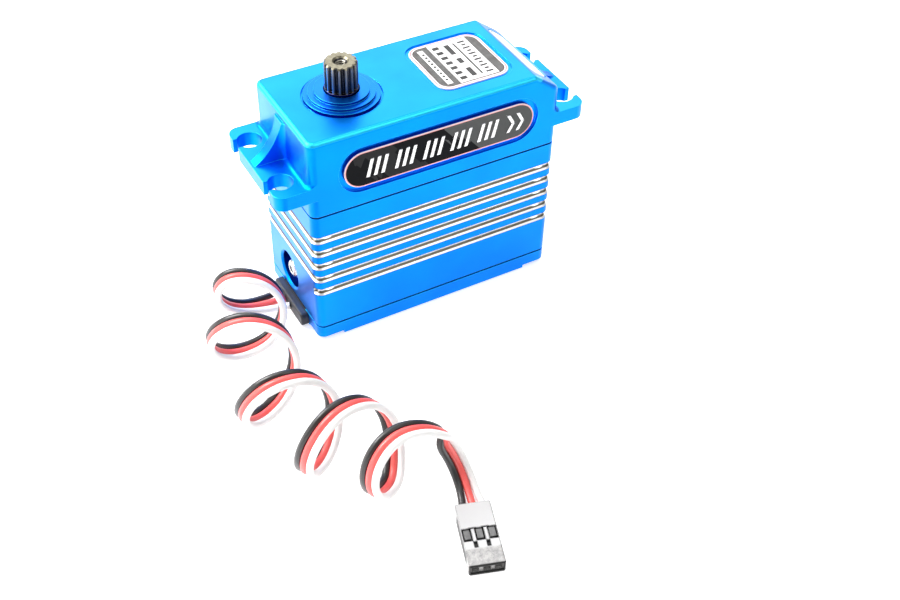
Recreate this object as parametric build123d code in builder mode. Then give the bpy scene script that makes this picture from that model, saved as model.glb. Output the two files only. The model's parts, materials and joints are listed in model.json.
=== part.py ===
from build123d import *
from math import acos, copysign, cos, pi, radians, sin, sqrt, tan
import os

os.makedirs("parts", exist_ok=True)

# Large-size hobby servo, millimetres. The origin is the centre of the base, +Z is up,
# +X runs from the output end, where the lead leaves, to the other end.

# ---- case ----
CASE_LENGTH, CASE_WIDTH, CASE_HEIGHT = 66.0, 30.0, 60.0
CASE_CORNER = 2.0
WALL = 2.0
LOWER_JOINT, UPPER_JOINT = 4.6, 39.4
GASKET_THICK, GASKET_INSET = 0.5, 0.35
END_X, SIDE_Y = CASE_LENGTH / 2, CASE_WIDTH / 2
CORNER_X, CORNER_Y = END_X - CASE_CORNER, SIDE_Y - CASE_CORNER
COVER_TOP = LOWER_JOINT - GASKET_THICK / 2
MIDDLE_LOW = LOWER_JOINT + GASKET_THICK / 2
MIDDLE_TOP = UPPER_JOINT - GASKET_THICK / 2
TOP_LOW = UPPER_JOINT + GASKET_THICK / 2
CEILING = CASE_HEIGHT - WALL
DECK_LOW = 36.0
COVER_FLOOR = 1.4
EDGE_FILLET = 1.2

# ---- cooling grooves round the middle case ----
GROOVE_COUNT, GROOVE_PITCH, LOWEST_GROOVE_Z = 5, 4.05, 16.3
GROOVE_WIDTH, GROOVE_DEPTH, GROOVE_CHAMFER = 0.6, 0.9, 0.7

# ---- sloped end, mounting ears and gussets ----
SLOPE_RUN, SLOPE_DROP = 6.9, 5.1
EAR_LOW, EAR_THICK, EAR_REACH, EAR_CORNER = 44.4, 3.7, 8.1, 2.6
EAR_HOLE_R, EAR_SPACING_X, EAR_SPACING_Y, EAR_SLOT = 3.0, 75.2, 18.0, 3.4
EAR_TOP = EAR_LOW + EAR_THICK
GUSSET_THICK, GUSSET_FOOT, GUSSET_COVE = 2.7, 7.5, 1.8
GUSSETS = ((-1, 10.1), (1, 6.4))
EAR_COVE, COVE_SINK = 1.2, 0.3

# ---- labels ----
BADGE_X, BADGE_Z, BADGE_LENGTH, BADGE_HEIGHT, BADGE_THICK = 0.55, 49.4, 50.3, 9.8, 0.9
BADGE_POCKET_MARGIN, BADGE_POCKET_DEPTH = 1.3, 0.8
TOP_LABEL_X, TOP_LABEL_LENGTH, TOP_LABEL_WIDTH, TOP_LABEL_CORNER = 13.1, 19.2, 19.4, 3.5
LABEL_THICK, LABEL_RECESS, LABEL_MARGIN = 0.3, 0.35, 0.9
END_LABEL_LENGTH, END_LABEL_HEIGHT, END_LABEL_CORNER = 22.0, 5.4, 2.2

# ---- shafts of the gear train ----
OUTPUT_X, PIN_X, MOTOR_X = -17.5, -1.5, 12.1
PRESSURE_ANGLE = radians(20)
TOOTH_THINNING = 0.03
FIT = 0.05
PIN_R, PIN_LOW, PIN_TOP = 1.5, 37.2, 57.2

# ---- gear train: heights, teeth, module, profile shift and the angle of one tooth ----
MOTOR_PINION = {"low": 40.3, "height": 2.8, "teeth": 10, "module": 0.4, "shift": 0.45, "phase": 18}
GEAR_1_WHEEL = {"low": 40.5, "height": 2.5, "teeth": 58, "module": 0.4, "shift": -0.45, "phase": 0}
GEAR_1_PINION = {"low": 43.0, "height": 2.9, "teeth": 16, "module": 0.5, "shift": 0.1, "phase": 0}
GEAR_2_WHEEL = {"low": 43.4, "height": 2.5, "teeth": 48, "module": 0.5, "shift": -0.1, "phase": 180 / 48}
GEAR_2_PINION = {"low": 45.9, "height": 3.1, "teeth": 11, "module": 0.8, "shift": 0.4, "phase": 0}
GEAR_3_WHEEL = {"low": 46.3, "height": 2.7, "teeth": 29, "module": 0.8, "shift": -0.4, "phase": 0}
GEAR_3_PINION = {"low": 49.0, "height": 5.5, "teeth": 11, "module": 0.8, "shift": 0.4, "phase": 180}
OUTPUT_WHEEL = {"low": 49.5, "height": 5.0, "teeth": 29, "module": 0.8, "shift": -0.4, "phase": 180 / 29}
SHAFT_SHOULDER = 49.2
HUB_R, HUB_LOW = 3.6, 43.2

# ---- output shaft, bearings and boss ----
SPLINE_TEETH, SPLINE_TIP_R, SPLINE_ROOT_R = 15, 3.9, 3.25
SPLINE_LOW, SPLINE_TOP = 62.3, 69.0
SPLINE_TIP_SHARE, SPLINE_FOOT_SHARE = 0.1, 0.42
HORN_SCREW_R, HORN_SCREW_DEPTH, COUNTERSINK_R = 1.25, 10.0, 1.9
UPPER_JOURNAL_R, LOWER_JOURNAL_R = 4.0, 2.5
BOSS_GROOVE_R, BOSS_GROOVE_DEPTH = 9.5, 0.5
BOSS_STEPS = ((9.0, 0.5), (7.9, 1.15), (6.5, 1.8))
BOSS_BORE_R, SEAL_R, SEAL_LOW, SEAL_TOP = 4.2, 5.6, 59.5, 60.5
UPPER_BEARING = {"bore": 4.0, "outer": 7.0, "low": 55.5, "width": 4.0, "ball": 0.65, "balls": 14}
LOWER_BEARING = {"bore": 2.5, "outer": 5.5, "low": 36.4, "width": 2.8, "ball": 0.6, "balls": 10}

# ---- case screws ----
SCREW_X, SCREW_Y = 29.2, 11.2
SCREW_R, SCREW_CLEARANCE_R, SCREW_TAP_R, SCREW_COLUMN_R = 1.25, 1.4, 1.27, 3.2
SCREW_HEAD_R, SCREW_HEAD, SCREW_HEAD_LOW, SCREW_TIP = 2.6, 1.1, 0.1, 46.0
NOTCH, NOTCH_HEIGHT, CORNER_BLOCK = 6.8, 1.2, 6.4

# ---- motor ----
MOTOR_R, MOTOR_LOW, MOTOR_TOP, MOTOR_WALL = 11.6, 10.2, 35.95, 0.9
MOTOR_SHAFT_R, MOTOR_BOSS_R = 1.0, 3.0
MOTOR_SCREW_Y = 7.2
ARMATURE_R, ARMATURE_LOW, ARMATURE_TOP, POLES = 7.6, 16.0, 30.0, 5

# ---- position sensor and board ----
POT_R, POT_LOW, POT_TOP, POT_SHAFT_R = 5.6, 27.0, 35.8, 1.5
BOARD_LOW, BOARD_THICK, BOARD_LENGTH, BOARD_WIDTH, BOARD_X = 6.2, 1.6, 57.0, 24.0, 0.6

# ---- port, grommet, lead and plug ----
PORT_Y, PORT_Z, PORT_R, PORT_DEPTH, PORT_BOSS_R = 2.2, 10.8, 4.9, 3.0, 5.8
GROMMET_WIDTH, GROMMET_LOW, GROMMET_TOP, GROMMET_PROUD = 16.8, 0.3, 4.1, 2.0
GROMMET_SLOT = 13.0
WIRE_Y = (5.0, 1.8, -1.4)
WIRE_R = 0.85
LEAD_TUBE_R = 1.5
CURL_R = 11.0
PLUG_CENTRE, PLUG_TURN = (-28.3, -85.7), 18.4
PLUG_LENGTH, PLUG_WIDTH, PLUG_THICK = 16.6, 8.0, 3.0
CONTACT_PITCH, WINDOW_PITCH = 2.54, 2.8

# The lead leaves the grommet, is curled into a loose spring that lies on the floor, and ends in
# the plug. Each list is the route of one stretch, point by point along its centre.
EXIT_ROUTE = ((-35.0, 1.8, 2.2), (-47.4, 1.6, 1.6))
CURL_ROUTE = (
    (-46.8, 0.4, CURL_R),
    (-49.9, -8.0, CURL_R),
    (-52.9, -18.5, CURL_R),
    (-53.9, -30.5, CURL_R),
    (-51.4, -42.0, CURL_R),
    (-46.4, -52.5, CURL_R),
    (-40.2, -61.5, CURL_R),
    (-33.6, -69.4, CURL_R),
)
TAIL_ROUTE = (
    (-27.3, -65.3, 9.0),
    (-24.3, -69.6, 3.9),
    (-24.3, -73.8, 1.6),
    (-25.7, -77.8, 1.5),
)


def save(piece, name):
    """Labels a finished piece and writes its STEP file."""
    piece.part.label = name
    export_step(piece.part, f"parts/{name}.step")


def bend_radii(route):
    """The radius of the arc at each inner point of a route."""
    points = [Vector(*p) for p in route]
    radii = []
    for before, corner, after in zip(points, points[1:], points[2:]):
        turn = radians((corner - before).get_angle(after - corner))
        shorter = min((corner - before).length, (after - corner).length)
        radii.append(0.45 * shorter / tan(turn / 2))
    return radii


def centre_line(route):
    """Straight runs joined by tangent arcs, inside a BuildLine block."""
    if len(route) == 2:
        return Line(*route)
    return FilletPolyline(*route, radius=bend_radii(route))


def tube(route, radius):
    """A solid tube along a route, and the radii of its bends."""
    with BuildPart() as piece:
        with BuildLine():
            path = centre_line(route)
        with BuildSketch(path ^ 0):
            Circle(radius)
        sweep(path=path)
    volume = pi * radius**2 * path.length
    print(
        f"tube: length {path.length:.1f}, volume / section x length "
        f"{piece.part.volume / volume:.4f}, bend radii",
        [round(r, 1) for r in bend_radii(route)],
    )
    return piece


# =========================== toothed outlines ===========================


def involute(angle):
    return tan(angle) - angle


def gear_sizes(teeth, module, shift):
    """Pitch, base, root and tip radii of a 20 degree involute gear with profile shift."""
    pitch = module * teeth / 2
    base = pitch * cos(PRESSURE_ANGLE)
    root = pitch - module * (1.25 - shift)
    tip = pitch + module * (1 + shift)
    return pitch, base, root, tip


def half_tooth_angle(radius, teeth, module, shift):
    """Half the angle that a tooth fills at a radius on its flank."""
    pitch, base = gear_sizes(teeth, module, shift)[:2]
    thickness = module * (pi / 2 + 2 * shift * tan(PRESSURE_ANGLE)) - TOOTH_THINNING
    at_pitch = thickness / (2 * pitch)
    return at_pitch + involute(PRESSURE_ANGLE) - involute(acos(min(1.0, base / radius)))


def polar(radius, angle):
    return (radius * cos(angle), radius * sin(angle))


def gear_layer(x, low, height, teeth, module, shift, phase):
    """One toothed wheel, added to the part in progress, with a tooth centred at phase degrees."""
    base, root, tip = gear_sizes(teeth, module, shift)[1:]
    start = max(base, root)
    radii = [start + (tip - start) * step / 4 for step in range(5)]
    flank = [(r, half_tooth_angle(r, teeth, module, shift)) for r in radii]
    foot, tip_angle = flank[0][1], flank[-1][1]
    with BuildSketch(Plane((x, 0, low))) as outline:
        with BuildLine():
            for tooth in range(teeth):
                middle = radians(phase) + 2 * pi * tooth / teeth
                gap, following = middle + pi / teeth, middle + 2 * pi / teeth
                if base > root:
                    Line(polar(root, middle - foot), polar(base, middle - foot))
                Spline(*[polar(r, middle - a) for r, a in flank])
                ThreePointArc(
                    polar(tip, middle - tip_angle),
                    polar(tip, middle),
                    polar(tip, middle + tip_angle),
                )
                Spline(*[polar(r, middle + a) for r, a in reversed(flank)])
                if base > root:
                    Line(polar(base, middle + foot), polar(root, middle + foot))
                ThreePointArc(
                    polar(root, middle + foot), polar(root, gap), polar(root, following - foot)
                )
        make_face()
    extrude(outline.sketch, amount=height)


def top_of(layer):
    return layer["low"] + layer["height"]


def cylinder_between(x, low, high, radius, mode=Mode.ADD, y=0.0):
    """An upright cylinder from one height to another."""
    with Locations((x, y, low)):
        Cylinder(radius, high - low, align=(Align.CENTER, Align.CENTER, Align.MIN), mode=mode)


def case_block(low, high, inset=0.0, corner=CASE_CORNER, mode=Mode.ADD):
    """A block with the outline of the case, drawn in by an inset."""
    with BuildSketch(Plane.XY.offset(low)) as outline:
        RectangleRounded(CASE_LENGTH - 2 * inset, CASE_WIDTH - 2 * inset, corner)
    extrude(outline.sketch, amount=high - low, mode=mode)


def screw_columns(low, high, radius, mode=Mode.ADD):
    """Four upright cylinders at the case screws."""
    for x in (-SCREW_X, SCREW_X):
        for y in (-SCREW_Y, SCREW_Y):
            cylinder_between(x, low, high, radius, mode, y)


# ============================== casings ==============================

with BuildPart() as bottom_cover:
    case_block(0, COVER_TOP)
    chamfer(bottom_cover.faces().sort_by(Axis.Z)[0].edges(), 0.4)
    case_block(COVER_FLOOR, COVER_TOP, WALL, 0.8, Mode.SUBTRACT)
    with BuildSketch(Plane.XY.offset(COVER_FLOOR)):
        with GridLocations(2 * (END_X - 4.5), 2 * (SIDE_Y - 4.5), 2, 2):
            Rectangle(CORNER_BLOCK, CORNER_BLOCK)
    extrude(amount=COVER_TOP - COVER_FLOOR)
    with BuildSketch():
        with GridLocations(2 * (END_X - NOTCH / 2 + 1), 2 * (SIDE_Y - NOTCH / 2 + 1), 2, 2):
            Rectangle(NOTCH + 2, NOTCH + 2)
    extrude(amount=NOTCH_HEIGHT, mode=Mode.SUBTRACT)
    screw_columns(0, COVER_TOP, SCREW_CLEARANCE_R, Mode.SUBTRACT)
    with BuildSketch(Plane.XY.offset(COVER_FLOOR)):
        with Locations((-END_X + WALL / 2, 0)):
            Rectangle(WALL + 1, GROMMET_SLOT)
    extrude(amount=COVER_TOP - COVER_FLOOR, mode=Mode.SUBTRACT)
save(bottom_cover, "bottom_cover")

GROOVE_OPENING = GROOVE_WIDTH + 2 * GROOVE_CHAMFER
BAND_HEIGHT = GROOVE_PITCH - GROOVE_WIDTH
TOP_GROOVE_Z = LOWEST_GROOVE_Z + (GROOVE_COUNT - 1) * GROOVE_PITCH
with BuildPart() as cooling_band:
    case_block(0, BAND_HEIGHT)
    chamfer(cooling_band.faces().filter_by(Axis.Z).edges(), GROOVE_CHAMFER)

with BuildPart() as middle_case:
    case_block(MIDDLE_LOW, LOWEST_GROOVE_Z - GROOVE_WIDTH / 2)
    chamfer(middle_case.faces().sort_by(Axis.Z)[-1].edges(), GROOVE_CHAMFER)
    case_block(TOP_GROOVE_Z + GROOVE_WIDTH / 2, MIDDLE_TOP)
    chamfer(
        middle_case.faces().filter_by(Axis.Z).sort_by(Axis.Z)[-2].edges(), GROOVE_CHAMFER
    )
    for band in range(GROOVE_COUNT - 1):
        with Locations((0, 0, LOWEST_GROOVE_Z + GROOVE_WIDTH / 2 + band * GROOVE_PITCH)):
            add(cooling_band.part)
    case_block(MIDDLE_LOW, MIDDLE_TOP, GROOVE_DEPTH, CASE_CORNER - GROOVE_DEPTH)
    # the lowest groove stops where the flat face of the end with the port begins
    with BuildSketch(Plane.XY.offset(LOWEST_GROOVE_Z - GROOVE_OPENING / 2)):
        with Locations((-END_X, 0)):
            Rectangle(WALL, CASE_WIDTH - 2 * CASE_CORNER, align=(Align.MIN, Align.CENTER))
    extrude(amount=GROOVE_OPENING)
    # hollow, with the deck that carries the motor, the pin and the lower bearing
    case_block(MIDDLE_LOW, DECK_LOW, WALL, 0.8, Mode.SUBTRACT)
    screw_columns(MIDDLE_LOW, DECK_LOW, SCREW_COLUMN_R)
    screw_columns(MIDDLE_LOW, MIDDLE_TOP, SCREW_CLEARANCE_R, Mode.SUBTRACT)
    cylinder_between(OUTPUT_X, DECK_LOW, MIDDLE_TOP, LOWER_BEARING["outer"] - 0.8, Mode.SUBTRACT)
    cylinder_between(
        OUTPUT_X, LOWER_BEARING["low"], MIDDLE_TOP, LOWER_BEARING["outer"], Mode.SUBTRACT
    )
    cylinder_between(PIN_X, PIN_LOW, MIDDLE_TOP, PIN_R, Mode.SUBTRACT)
    cylinder_between(MOTOR_X, DECK_LOW, MIDDLE_TOP, MOTOR_BOSS_R + 0.1, Mode.SUBTRACT)
    for side in (-1, 1):
        screw_y = side * MOTOR_SCREW_Y
        cylinder_between(MOTOR_X, DECK_LOW, MIDDLE_TOP, 1.1, Mode.SUBTRACT, screw_y)
        cylinder_between(MOTOR_X, MIDDLE_TOP - 1.5, MIDDLE_TOP, 2.2, Mode.SUBTRACT, screw_y)
    # port in the end wall, with a boss behind it
    with BuildSketch(Plane.YZ.offset(-END_X + WALL - 0.5)):
        with Locations((PORT_Y, PORT_Z)):
            Circle(PORT_BOSS_R)
    extrude(amount=PORT_DEPTH)
    with BuildSketch(Plane.YZ.offset(-END_X)):
        with Locations((PORT_Y, PORT_Z)):
            Circle(PORT_R)
    extrude(amount=PORT_DEPTH, mode=Mode.SUBTRACT)
    chamfer(
        middle_case.edges()
        .filter_by(GeomType.CIRCLE)
        .filter_by_position(Axis.X, -END_X - 0.01, -END_X + 0.01),
        0.5,
    )
    with BuildSketch(Plane.YZ.offset(-END_X)):
        with Locations((PORT_Y, PORT_Z)):
            Circle(SCREW_TAP_R)
    extrude(amount=2 * PORT_DEPTH, mode=Mode.SUBTRACT)
save(middle_case, "middle_case")


def gasket(low, name):
    """The thin seal between two casings, set in a little from their faces."""
    with BuildPart() as seal:
        case_block(low, low + GASKET_THICK, GASKET_INSET, CASE_CORNER - GASKET_INSET)
        case_block(low, low + GASKET_THICK, WALL - 0.1, 0.8, Mode.SUBTRACT)
    save(seal, name)


gasket(COVER_TOP, "lower_gasket")
gasket(MIDDLE_TOP, "upper_gasket")


def above_slope(inset, right, top):
    """The triangle above the sloped end, or above a line drawn in from it, in side view."""
    fall = SLOPE_DROP / SLOPE_RUN
    start_x = END_X - SLOPE_RUN
    start_z = CASE_HEIGHT - inset * sqrt(1 + fall**2)
    return [
        (start_x + (start_z - top) / fall, top),
        (right, start_z - (right - start_x) * fall),
        (right, top),
    ]


def gusset(side, rise, thickness):
    """A rib from the ear up to the end wall, with a hollow edge."""
    wall_x, top_x, toe_x = side * (END_X - 1.0), side * (END_X + 0.5), side * (END_X + GUSSET_FOOT)
    top, bottom = EAR_TOP + rise, EAR_LOW + 1.0
    with BuildSketch(Plane.XZ) as profile:
        with BuildLine():
            Polyline((toe_x, EAR_TOP), (toe_x, bottom), (wall_x, bottom), (wall_x, top), (top_x, top))
            ThreePointArc(
                (top_x, top),
                (side * (END_X + GUSSET_FOOT * 0.38), EAR_TOP + rise * 0.45),
                (toe_x, EAR_TOP),
            )
        make_face()
    extrude(profile.sketch, amount=thickness / 2, both=True)


def cove_profile(plane, corner_x, corner_y, out, along):
    """The filling of an inner corner, hollow towards out and along, and sunk into both faces."""
    sink_x, sink_y = corner_x - copysign(COVE_SINK, out), corner_y - copysign(COVE_SINK, along)
    hollow = 1 - sqrt(0.5)
    with BuildSketch(plane) as profile:
        with BuildLine():
            Polyline(
                (corner_x + out, corner_y),
                (corner_x + out, sink_y),
                (sink_x, sink_y),
                (sink_x, corner_y + along),
                (corner_x, corner_y + along),
            )
            ThreePointArc(
                (corner_x, corner_y + along),
                (corner_x + out * hollow, corner_y + along * hollow),
                (corner_x + out, corner_y),
            )
        make_face()
    return profile.sketch


def upright_coves(side, rise):
    """The upright rounded corners on both sides of a gusset."""
    foot_plane = Plane.XY.offset(EAR_TOP - COVE_SINK)
    for half in (-1, 1):
        reach_x, reach_y = side * GUSSET_COVE, half * GUSSET_COVE
        profile = cove_profile(foot_plane, side * END_X, half * GUSSET_THICK / 2, reach_x, reach_y)
        extrude(profile, amount=rise + COVE_SINK)


def ear_cove(side):
    """The rounded inner corner between an ear and the end wall, led round the case's corners."""
    profile = cove_profile(Plane.XZ, side * END_X, EAR_TOP, side * EAR_COVE, EAR_COVE)
    extrude(profile, amount=CORNER_Y, both=True)
    for half in (-1, 1):
        end_plane = Plane.XZ.offset(-half * CORNER_Y)
        profile = cove_profile(end_plane, side * END_X, EAR_TOP, side * EAR_COVE, EAR_COVE)
        corner_axis = Axis((side * CORNER_X, half * CORNER_Y, 0), (0, 0, side * half))
        revolve(profile, axis=corner_axis, revolution_arc=90)


def badge_pocket(side):
    """The long round-ended recess in a side of the top case."""
    with BuildSketch(Plane.XZ.offset(-side * SIDE_Y)) as outline:
        with Locations((BADGE_X, BADGE_Z)):
            SlotOverall(
                BADGE_LENGTH + 2 * BADGE_POCKET_MARGIN, BADGE_HEIGHT + 2 * BADGE_POCKET_MARGIN
            )
    extrude(outline.sketch, amount=side * BADGE_POCKET_DEPTH, mode=Mode.SUBTRACT)


SLOPE_PLANE = Plane(
    origin=(END_X - SLOPE_RUN / 2, 0, CASE_HEIGHT - SLOPE_DROP / 2),
    x_dir=(0, 1, 0),
    z_dir=(SLOPE_DROP, 0, SLOPE_RUN),
)

with BuildPart() as ear_coves:
    ear_cove(-1)
    ear_cove(1)
    with Locations((0, 0, EAR_TOP)):
        Box(CASE_LENGTH + 2 * EAR_REACH, CASE_WIDTH, 4 * EAR_COVE, mode=Mode.INTERSECT)

with BuildPart() as gusset_bounds:
    for side, rise in GUSSETS:
        gusset(side, rise, GUSSET_THICK + 2 * GUSSET_COVE)

with BuildPart() as gusset_coves:
    for side, rise in GUSSETS:
        upright_coves(side, rise)
    add(gusset_bounds.part, mode=Mode.INTERSECT)

with BuildPart() as top_cavity:
    case_block(TOP_LOW, CEILING, WALL, 0.8)
    with BuildSketch(Plane.XZ):
        Polygon(*above_slope(WALL, END_X, CEILING + 1), align=None)
    extrude(amount=SIDE_Y, both=True, mode=Mode.SUBTRACT)

with BuildPart() as top_case:
    case_block(TOP_LOW, CASE_HEIGHT)
    with BuildSketch(Plane.XZ):
        Polygon(*above_slope(0, END_X + 3, CASE_HEIGHT + 4), align=None)
    extrude(amount=CASE_WIDTH, both=True, mode=Mode.SUBTRACT)
    upper_faces = top_case.faces().sort_by(Axis.Z)[-2:]
    fillet(set(upper_faces.edges()), EDGE_FILLET)
    # ears with keyhole slots, gussets and rounded inner corners
    with BuildSketch(Plane.XY.offset(EAR_LOW)):
        RectangleRounded(CASE_LENGTH + 2 * EAR_REACH, CASE_WIDTH, EAR_CORNER)
        with GridLocations(EAR_SPACING_X, EAR_SPACING_Y, 2, 2):
            Circle(EAR_HOLE_R, mode=Mode.SUBTRACT)
        with GridLocations(CASE_LENGTH + 2 * EAR_REACH, EAR_SPACING_Y, 2, 2):
            Rectangle(2 * EAR_REACH - EAR_SPACING_X + CASE_LENGTH, EAR_SLOT, mode=Mode.SUBTRACT)
    extrude(amount=EAR_THICK)
    add(ear_coves.part)
    for side, rise in GUSSETS:
        gusset(side, rise, GUSSET_THICK)
    add(gusset_coves.part)
    # recesses for the badges and labels
    badge_pocket(-1)
    badge_pocket(1)
    with BuildSketch(Plane.XY.offset(CASE_HEIGHT)):
        with Locations((TOP_LABEL_X, 0)):
            RectangleRounded(
                TOP_LABEL_LENGTH + 2 * LABEL_MARGIN,
                TOP_LABEL_WIDTH + 2 * LABEL_MARGIN,
                TOP_LABEL_CORNER + LABEL_MARGIN,
            )
    extrude(amount=-LABEL_RECESS, mode=Mode.SUBTRACT)
    with BuildSketch(SLOPE_PLANE):
        RectangleRounded(END_LABEL_LENGTH + 0.8, END_LABEL_HEIGHT + 0.8, END_LABEL_CORNER + 0.4)
    extrude(amount=-LABEL_RECESS, mode=Mode.SUBTRACT)
    # stepped boss round the output shaft, in a shallow ring groove
    boss_low = CASE_HEIGHT - BOSS_GROOVE_DEPTH
    cylinder_between(OUTPUT_X, boss_low, CASE_HEIGHT, BOSS_GROOVE_R, Mode.SUBTRACT)
    for radius, rise in BOSS_STEPS:
        cylinder_between(OUTPUT_X, boss_low - 0.5, CASE_HEIGHT + rise, radius)
    # hollow inside, with the bosses of bearing and pin
    add(top_cavity.part, mode=Mode.SUBTRACT)
    screw_columns(TOP_LOW, SCREW_TIP + 2, SCREW_COLUMN_R)
    screw_columns(TOP_LOW, SCREW_TIP + 1, SCREW_TAP_R, Mode.SUBTRACT)
    cylinder_between(OUTPUT_X, UPPER_BEARING["low"], CEILING, UPPER_BEARING["outer"] + 1.4)
    cylinder_between(PIN_X, 55.2, CEILING, PIN_R + 1.6)
    cylinder_between(PIN_X, 55.2, PIN_TOP, PIN_R, Mode.SUBTRACT)
    bearing_top = UPPER_BEARING["low"] + UPPER_BEARING["width"]
    cylinder_between(OUTPUT_X, UPPER_BEARING["low"], bearing_top, UPPER_BEARING["outer"], Mode.SUBTRACT)
    cylinder_between(OUTPUT_X, bearing_top, SEAL_TOP, SEAL_R, Mode.SUBTRACT)
    cylinder_between(OUTPUT_X, SEAL_TOP, CASE_HEIGHT + 3, BOSS_BORE_R, Mode.SUBTRACT)
save(top_case, "top_case")

with BuildPart() as case_screws:
    screw_columns(SCREW_HEAD_LOW, SCREW_HEAD_LOW + SCREW_HEAD, SCREW_HEAD_R)
    chamfer(
        case_screws.faces().filter_by(Axis.Z).group_by(Axis.Z)[0].edges(), 0.25
    )
    screw_columns(SCREW_HEAD_LOW + SCREW_HEAD, SCREW_TIP, SCREW_R)
    with BuildSketch(Plane.XY.offset(SCREW_HEAD_LOW)):
        with GridLocations(2 * SCREW_X, 2 * SCREW_Y, 2, 2):
            RegularPolygon(1.15, 6)
    extrude(amount=0.8, mode=Mode.SUBTRACT)
save(case_screws, "case_screws")


def side_badge(side, name):
    """The round-ended plate that sits in the recess of one side."""
    floor_y = side * (SIDE_Y - BADGE_POCKET_DEPTH)
    with BuildPart() as badge:
        with BuildSketch(Plane.XZ.offset(-floor_y)):
            with Locations((BADGE_X, BADGE_Z)):
                SlotOverall(BADGE_LENGTH, BADGE_HEIGHT)
        extrude(amount=-side * BADGE_THICK)
        outer = badge.faces().filter_by(Axis.Y).sort_by(Axis.Y)[-1 if side > 0 else 0]
        fillet(outer.edges(), 0.25)
    save(badge, name)


side_badge(-1, "front_badge")
side_badge(1, "back_badge")

with BuildPart() as top_label:
    with BuildSketch(Plane.XY.offset(CASE_HEIGHT - LABEL_RECESS)):
        with Locations((TOP_LABEL_X, 0)):
            RectangleRounded(TOP_LABEL_LENGTH, TOP_LABEL_WIDTH, TOP_LABEL_CORNER)
    extrude(amount=LABEL_THICK)
    chamfer(top_label.faces().sort_by(Axis.Z)[-1].edges(), 0.1)
save(top_label, "top_label")

with BuildPart() as end_label:
    with BuildSketch(SLOPE_PLANE.offset(-LABEL_RECESS)):
        RectangleRounded(END_LABEL_LENGTH, END_LABEL_HEIGHT, END_LABEL_CORNER)
    extrude(amount=LABEL_THICK)
save(end_label, "end_label")

# ===================== output shaft, gears and pin =====================

with BuildPart() as output_shaft:
    cylinder_between(OUTPUT_X, LOWER_BEARING["low"], SHAFT_SHOULDER, LOWER_JOURNAL_R)
    cylinder_between(OUTPUT_X, SHAFT_SHOULDER, SPLINE_LOW, UPPER_JOURNAL_R)
    with BuildSketch(Plane((OUTPUT_X, 0, SPLINE_LOW))):
        with BuildLine():
            step = 2 * pi / SPLINE_TEETH
            for tooth in range(SPLINE_TEETH):
                middle = tooth * step
                left_foot, left_tip = middle - SPLINE_FOOT_SHARE * step, middle - SPLINE_TIP_SHARE * step
                right_tip, right_foot = middle + SPLINE_TIP_SHARE * step, middle + SPLINE_FOOT_SHARE * step
                Line(polar(SPLINE_ROOT_R, left_foot), polar(SPLINE_TIP_R, left_tip))
                ThreePointArc(
                    polar(SPLINE_TIP_R, left_tip),
                    polar(SPLINE_TIP_R, middle),
                    polar(SPLINE_TIP_R, right_tip),
                )
                Line(polar(SPLINE_TIP_R, right_tip), polar(SPLINE_ROOT_R, right_foot))
                ThreePointArc(
                    polar(SPLINE_ROOT_R, right_foot),
                    polar(SPLINE_ROOT_R, middle + step / 2),
                    polar(SPLINE_ROOT_R, left_foot + step),
                )
        make_face()
    extrude(amount=SPLINE_TOP - SPLINE_LOW)
    # the tips of the spline are turned down a little at the top
    with BuildSketch(Plane.XZ):
        with BuildLine():
            Polyline(
                (OUTPUT_X + SPLINE_TIP_R - 0.35, SPLINE_TOP + 0.01),
                (OUTPUT_X + SPLINE_TIP_R + 0.05, SPLINE_TOP - 0.39),
                (OUTPUT_X + SPLINE_TIP_R + 0.05, SPLINE_TOP + 0.01),
                close=True,
            )
        make_face()
    revolve(axis=Axis((OUTPUT_X, 0, 0), (0, 0, 1)), mode=Mode.SUBTRACT)
    with Locations((OUTPUT_X, 0, SPLINE_TOP)):
        CounterSinkHole(HORN_SCREW_R, COUNTERSINK_R, HORN_SCREW_DEPTH, 90)
    # flat-sided socket for the shaft of the position sensor
    cylinder_between(OUTPUT_X, LOWER_BEARING["low"], 40.0, POT_SHAFT_R + 0.02, Mode.SUBTRACT)
save(output_shaft, "output_shaft")

with BuildPart() as output_gear:
    gear_low, gear_high = OUTPUT_WHEEL["low"], top_of(OUTPUT_WHEEL)
    collar_r, web_r, web_depth, collar_proud = 5.0, 9.6, 0.6, 0.6
    gear_layer(OUTPUT_X, **OUTPUT_WHEEL)
    cylinder_between(OUTPUT_X, gear_high - web_depth, gear_high, web_r, Mode.SUBTRACT)
    cylinder_between(OUTPUT_X, gear_low + 1.0, gear_high + collar_proud, collar_r)
    cylinder_between(OUTPUT_X, gear_low, gear_high + collar_proud, UPPER_JOURNAL_R, Mode.SUBTRACT)
save(output_gear, "output_gear")

with BuildPart() as gear_2:
    gear_layer(OUTPUT_X, **GEAR_2_WHEEL)
    cylinder_between(OUTPUT_X, HUB_LOW, top_of(GEAR_2_PINION), HUB_R)
    gear_layer(OUTPUT_X, **GEAR_2_PINION)
    cylinder_between(OUTPUT_X, HUB_LOW, top_of(GEAR_2_PINION), LOWER_JOURNAL_R + FIT, Mode.SUBTRACT)
save(gear_2, "gear_2")


def pin_gear(wheel, pinion, name):
    """A wheel with its pinion above it, free to turn on the pin."""
    with BuildPart() as gear:
        gear_layer(PIN_X, **wheel)
        gear_layer(PIN_X, **pinion)
        cylinder_between(PIN_X, wheel["low"], top_of(pinion), PIN_R + FIT, Mode.SUBTRACT)
    save(gear, name)


pin_gear(GEAR_1_WHEEL, GEAR_1_PINION, "gear_1")
pin_gear(GEAR_3_WHEEL, GEAR_3_PINION, "gear_3")

with BuildPart() as gear_pin:
    cylinder_between(PIN_X, PIN_LOW, PIN_TOP, PIN_R)
    chamfer(gear_pin.faces().filter_by(Axis.Z).edges(), 0.3)
save(gear_pin, "gear_pin")

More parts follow.
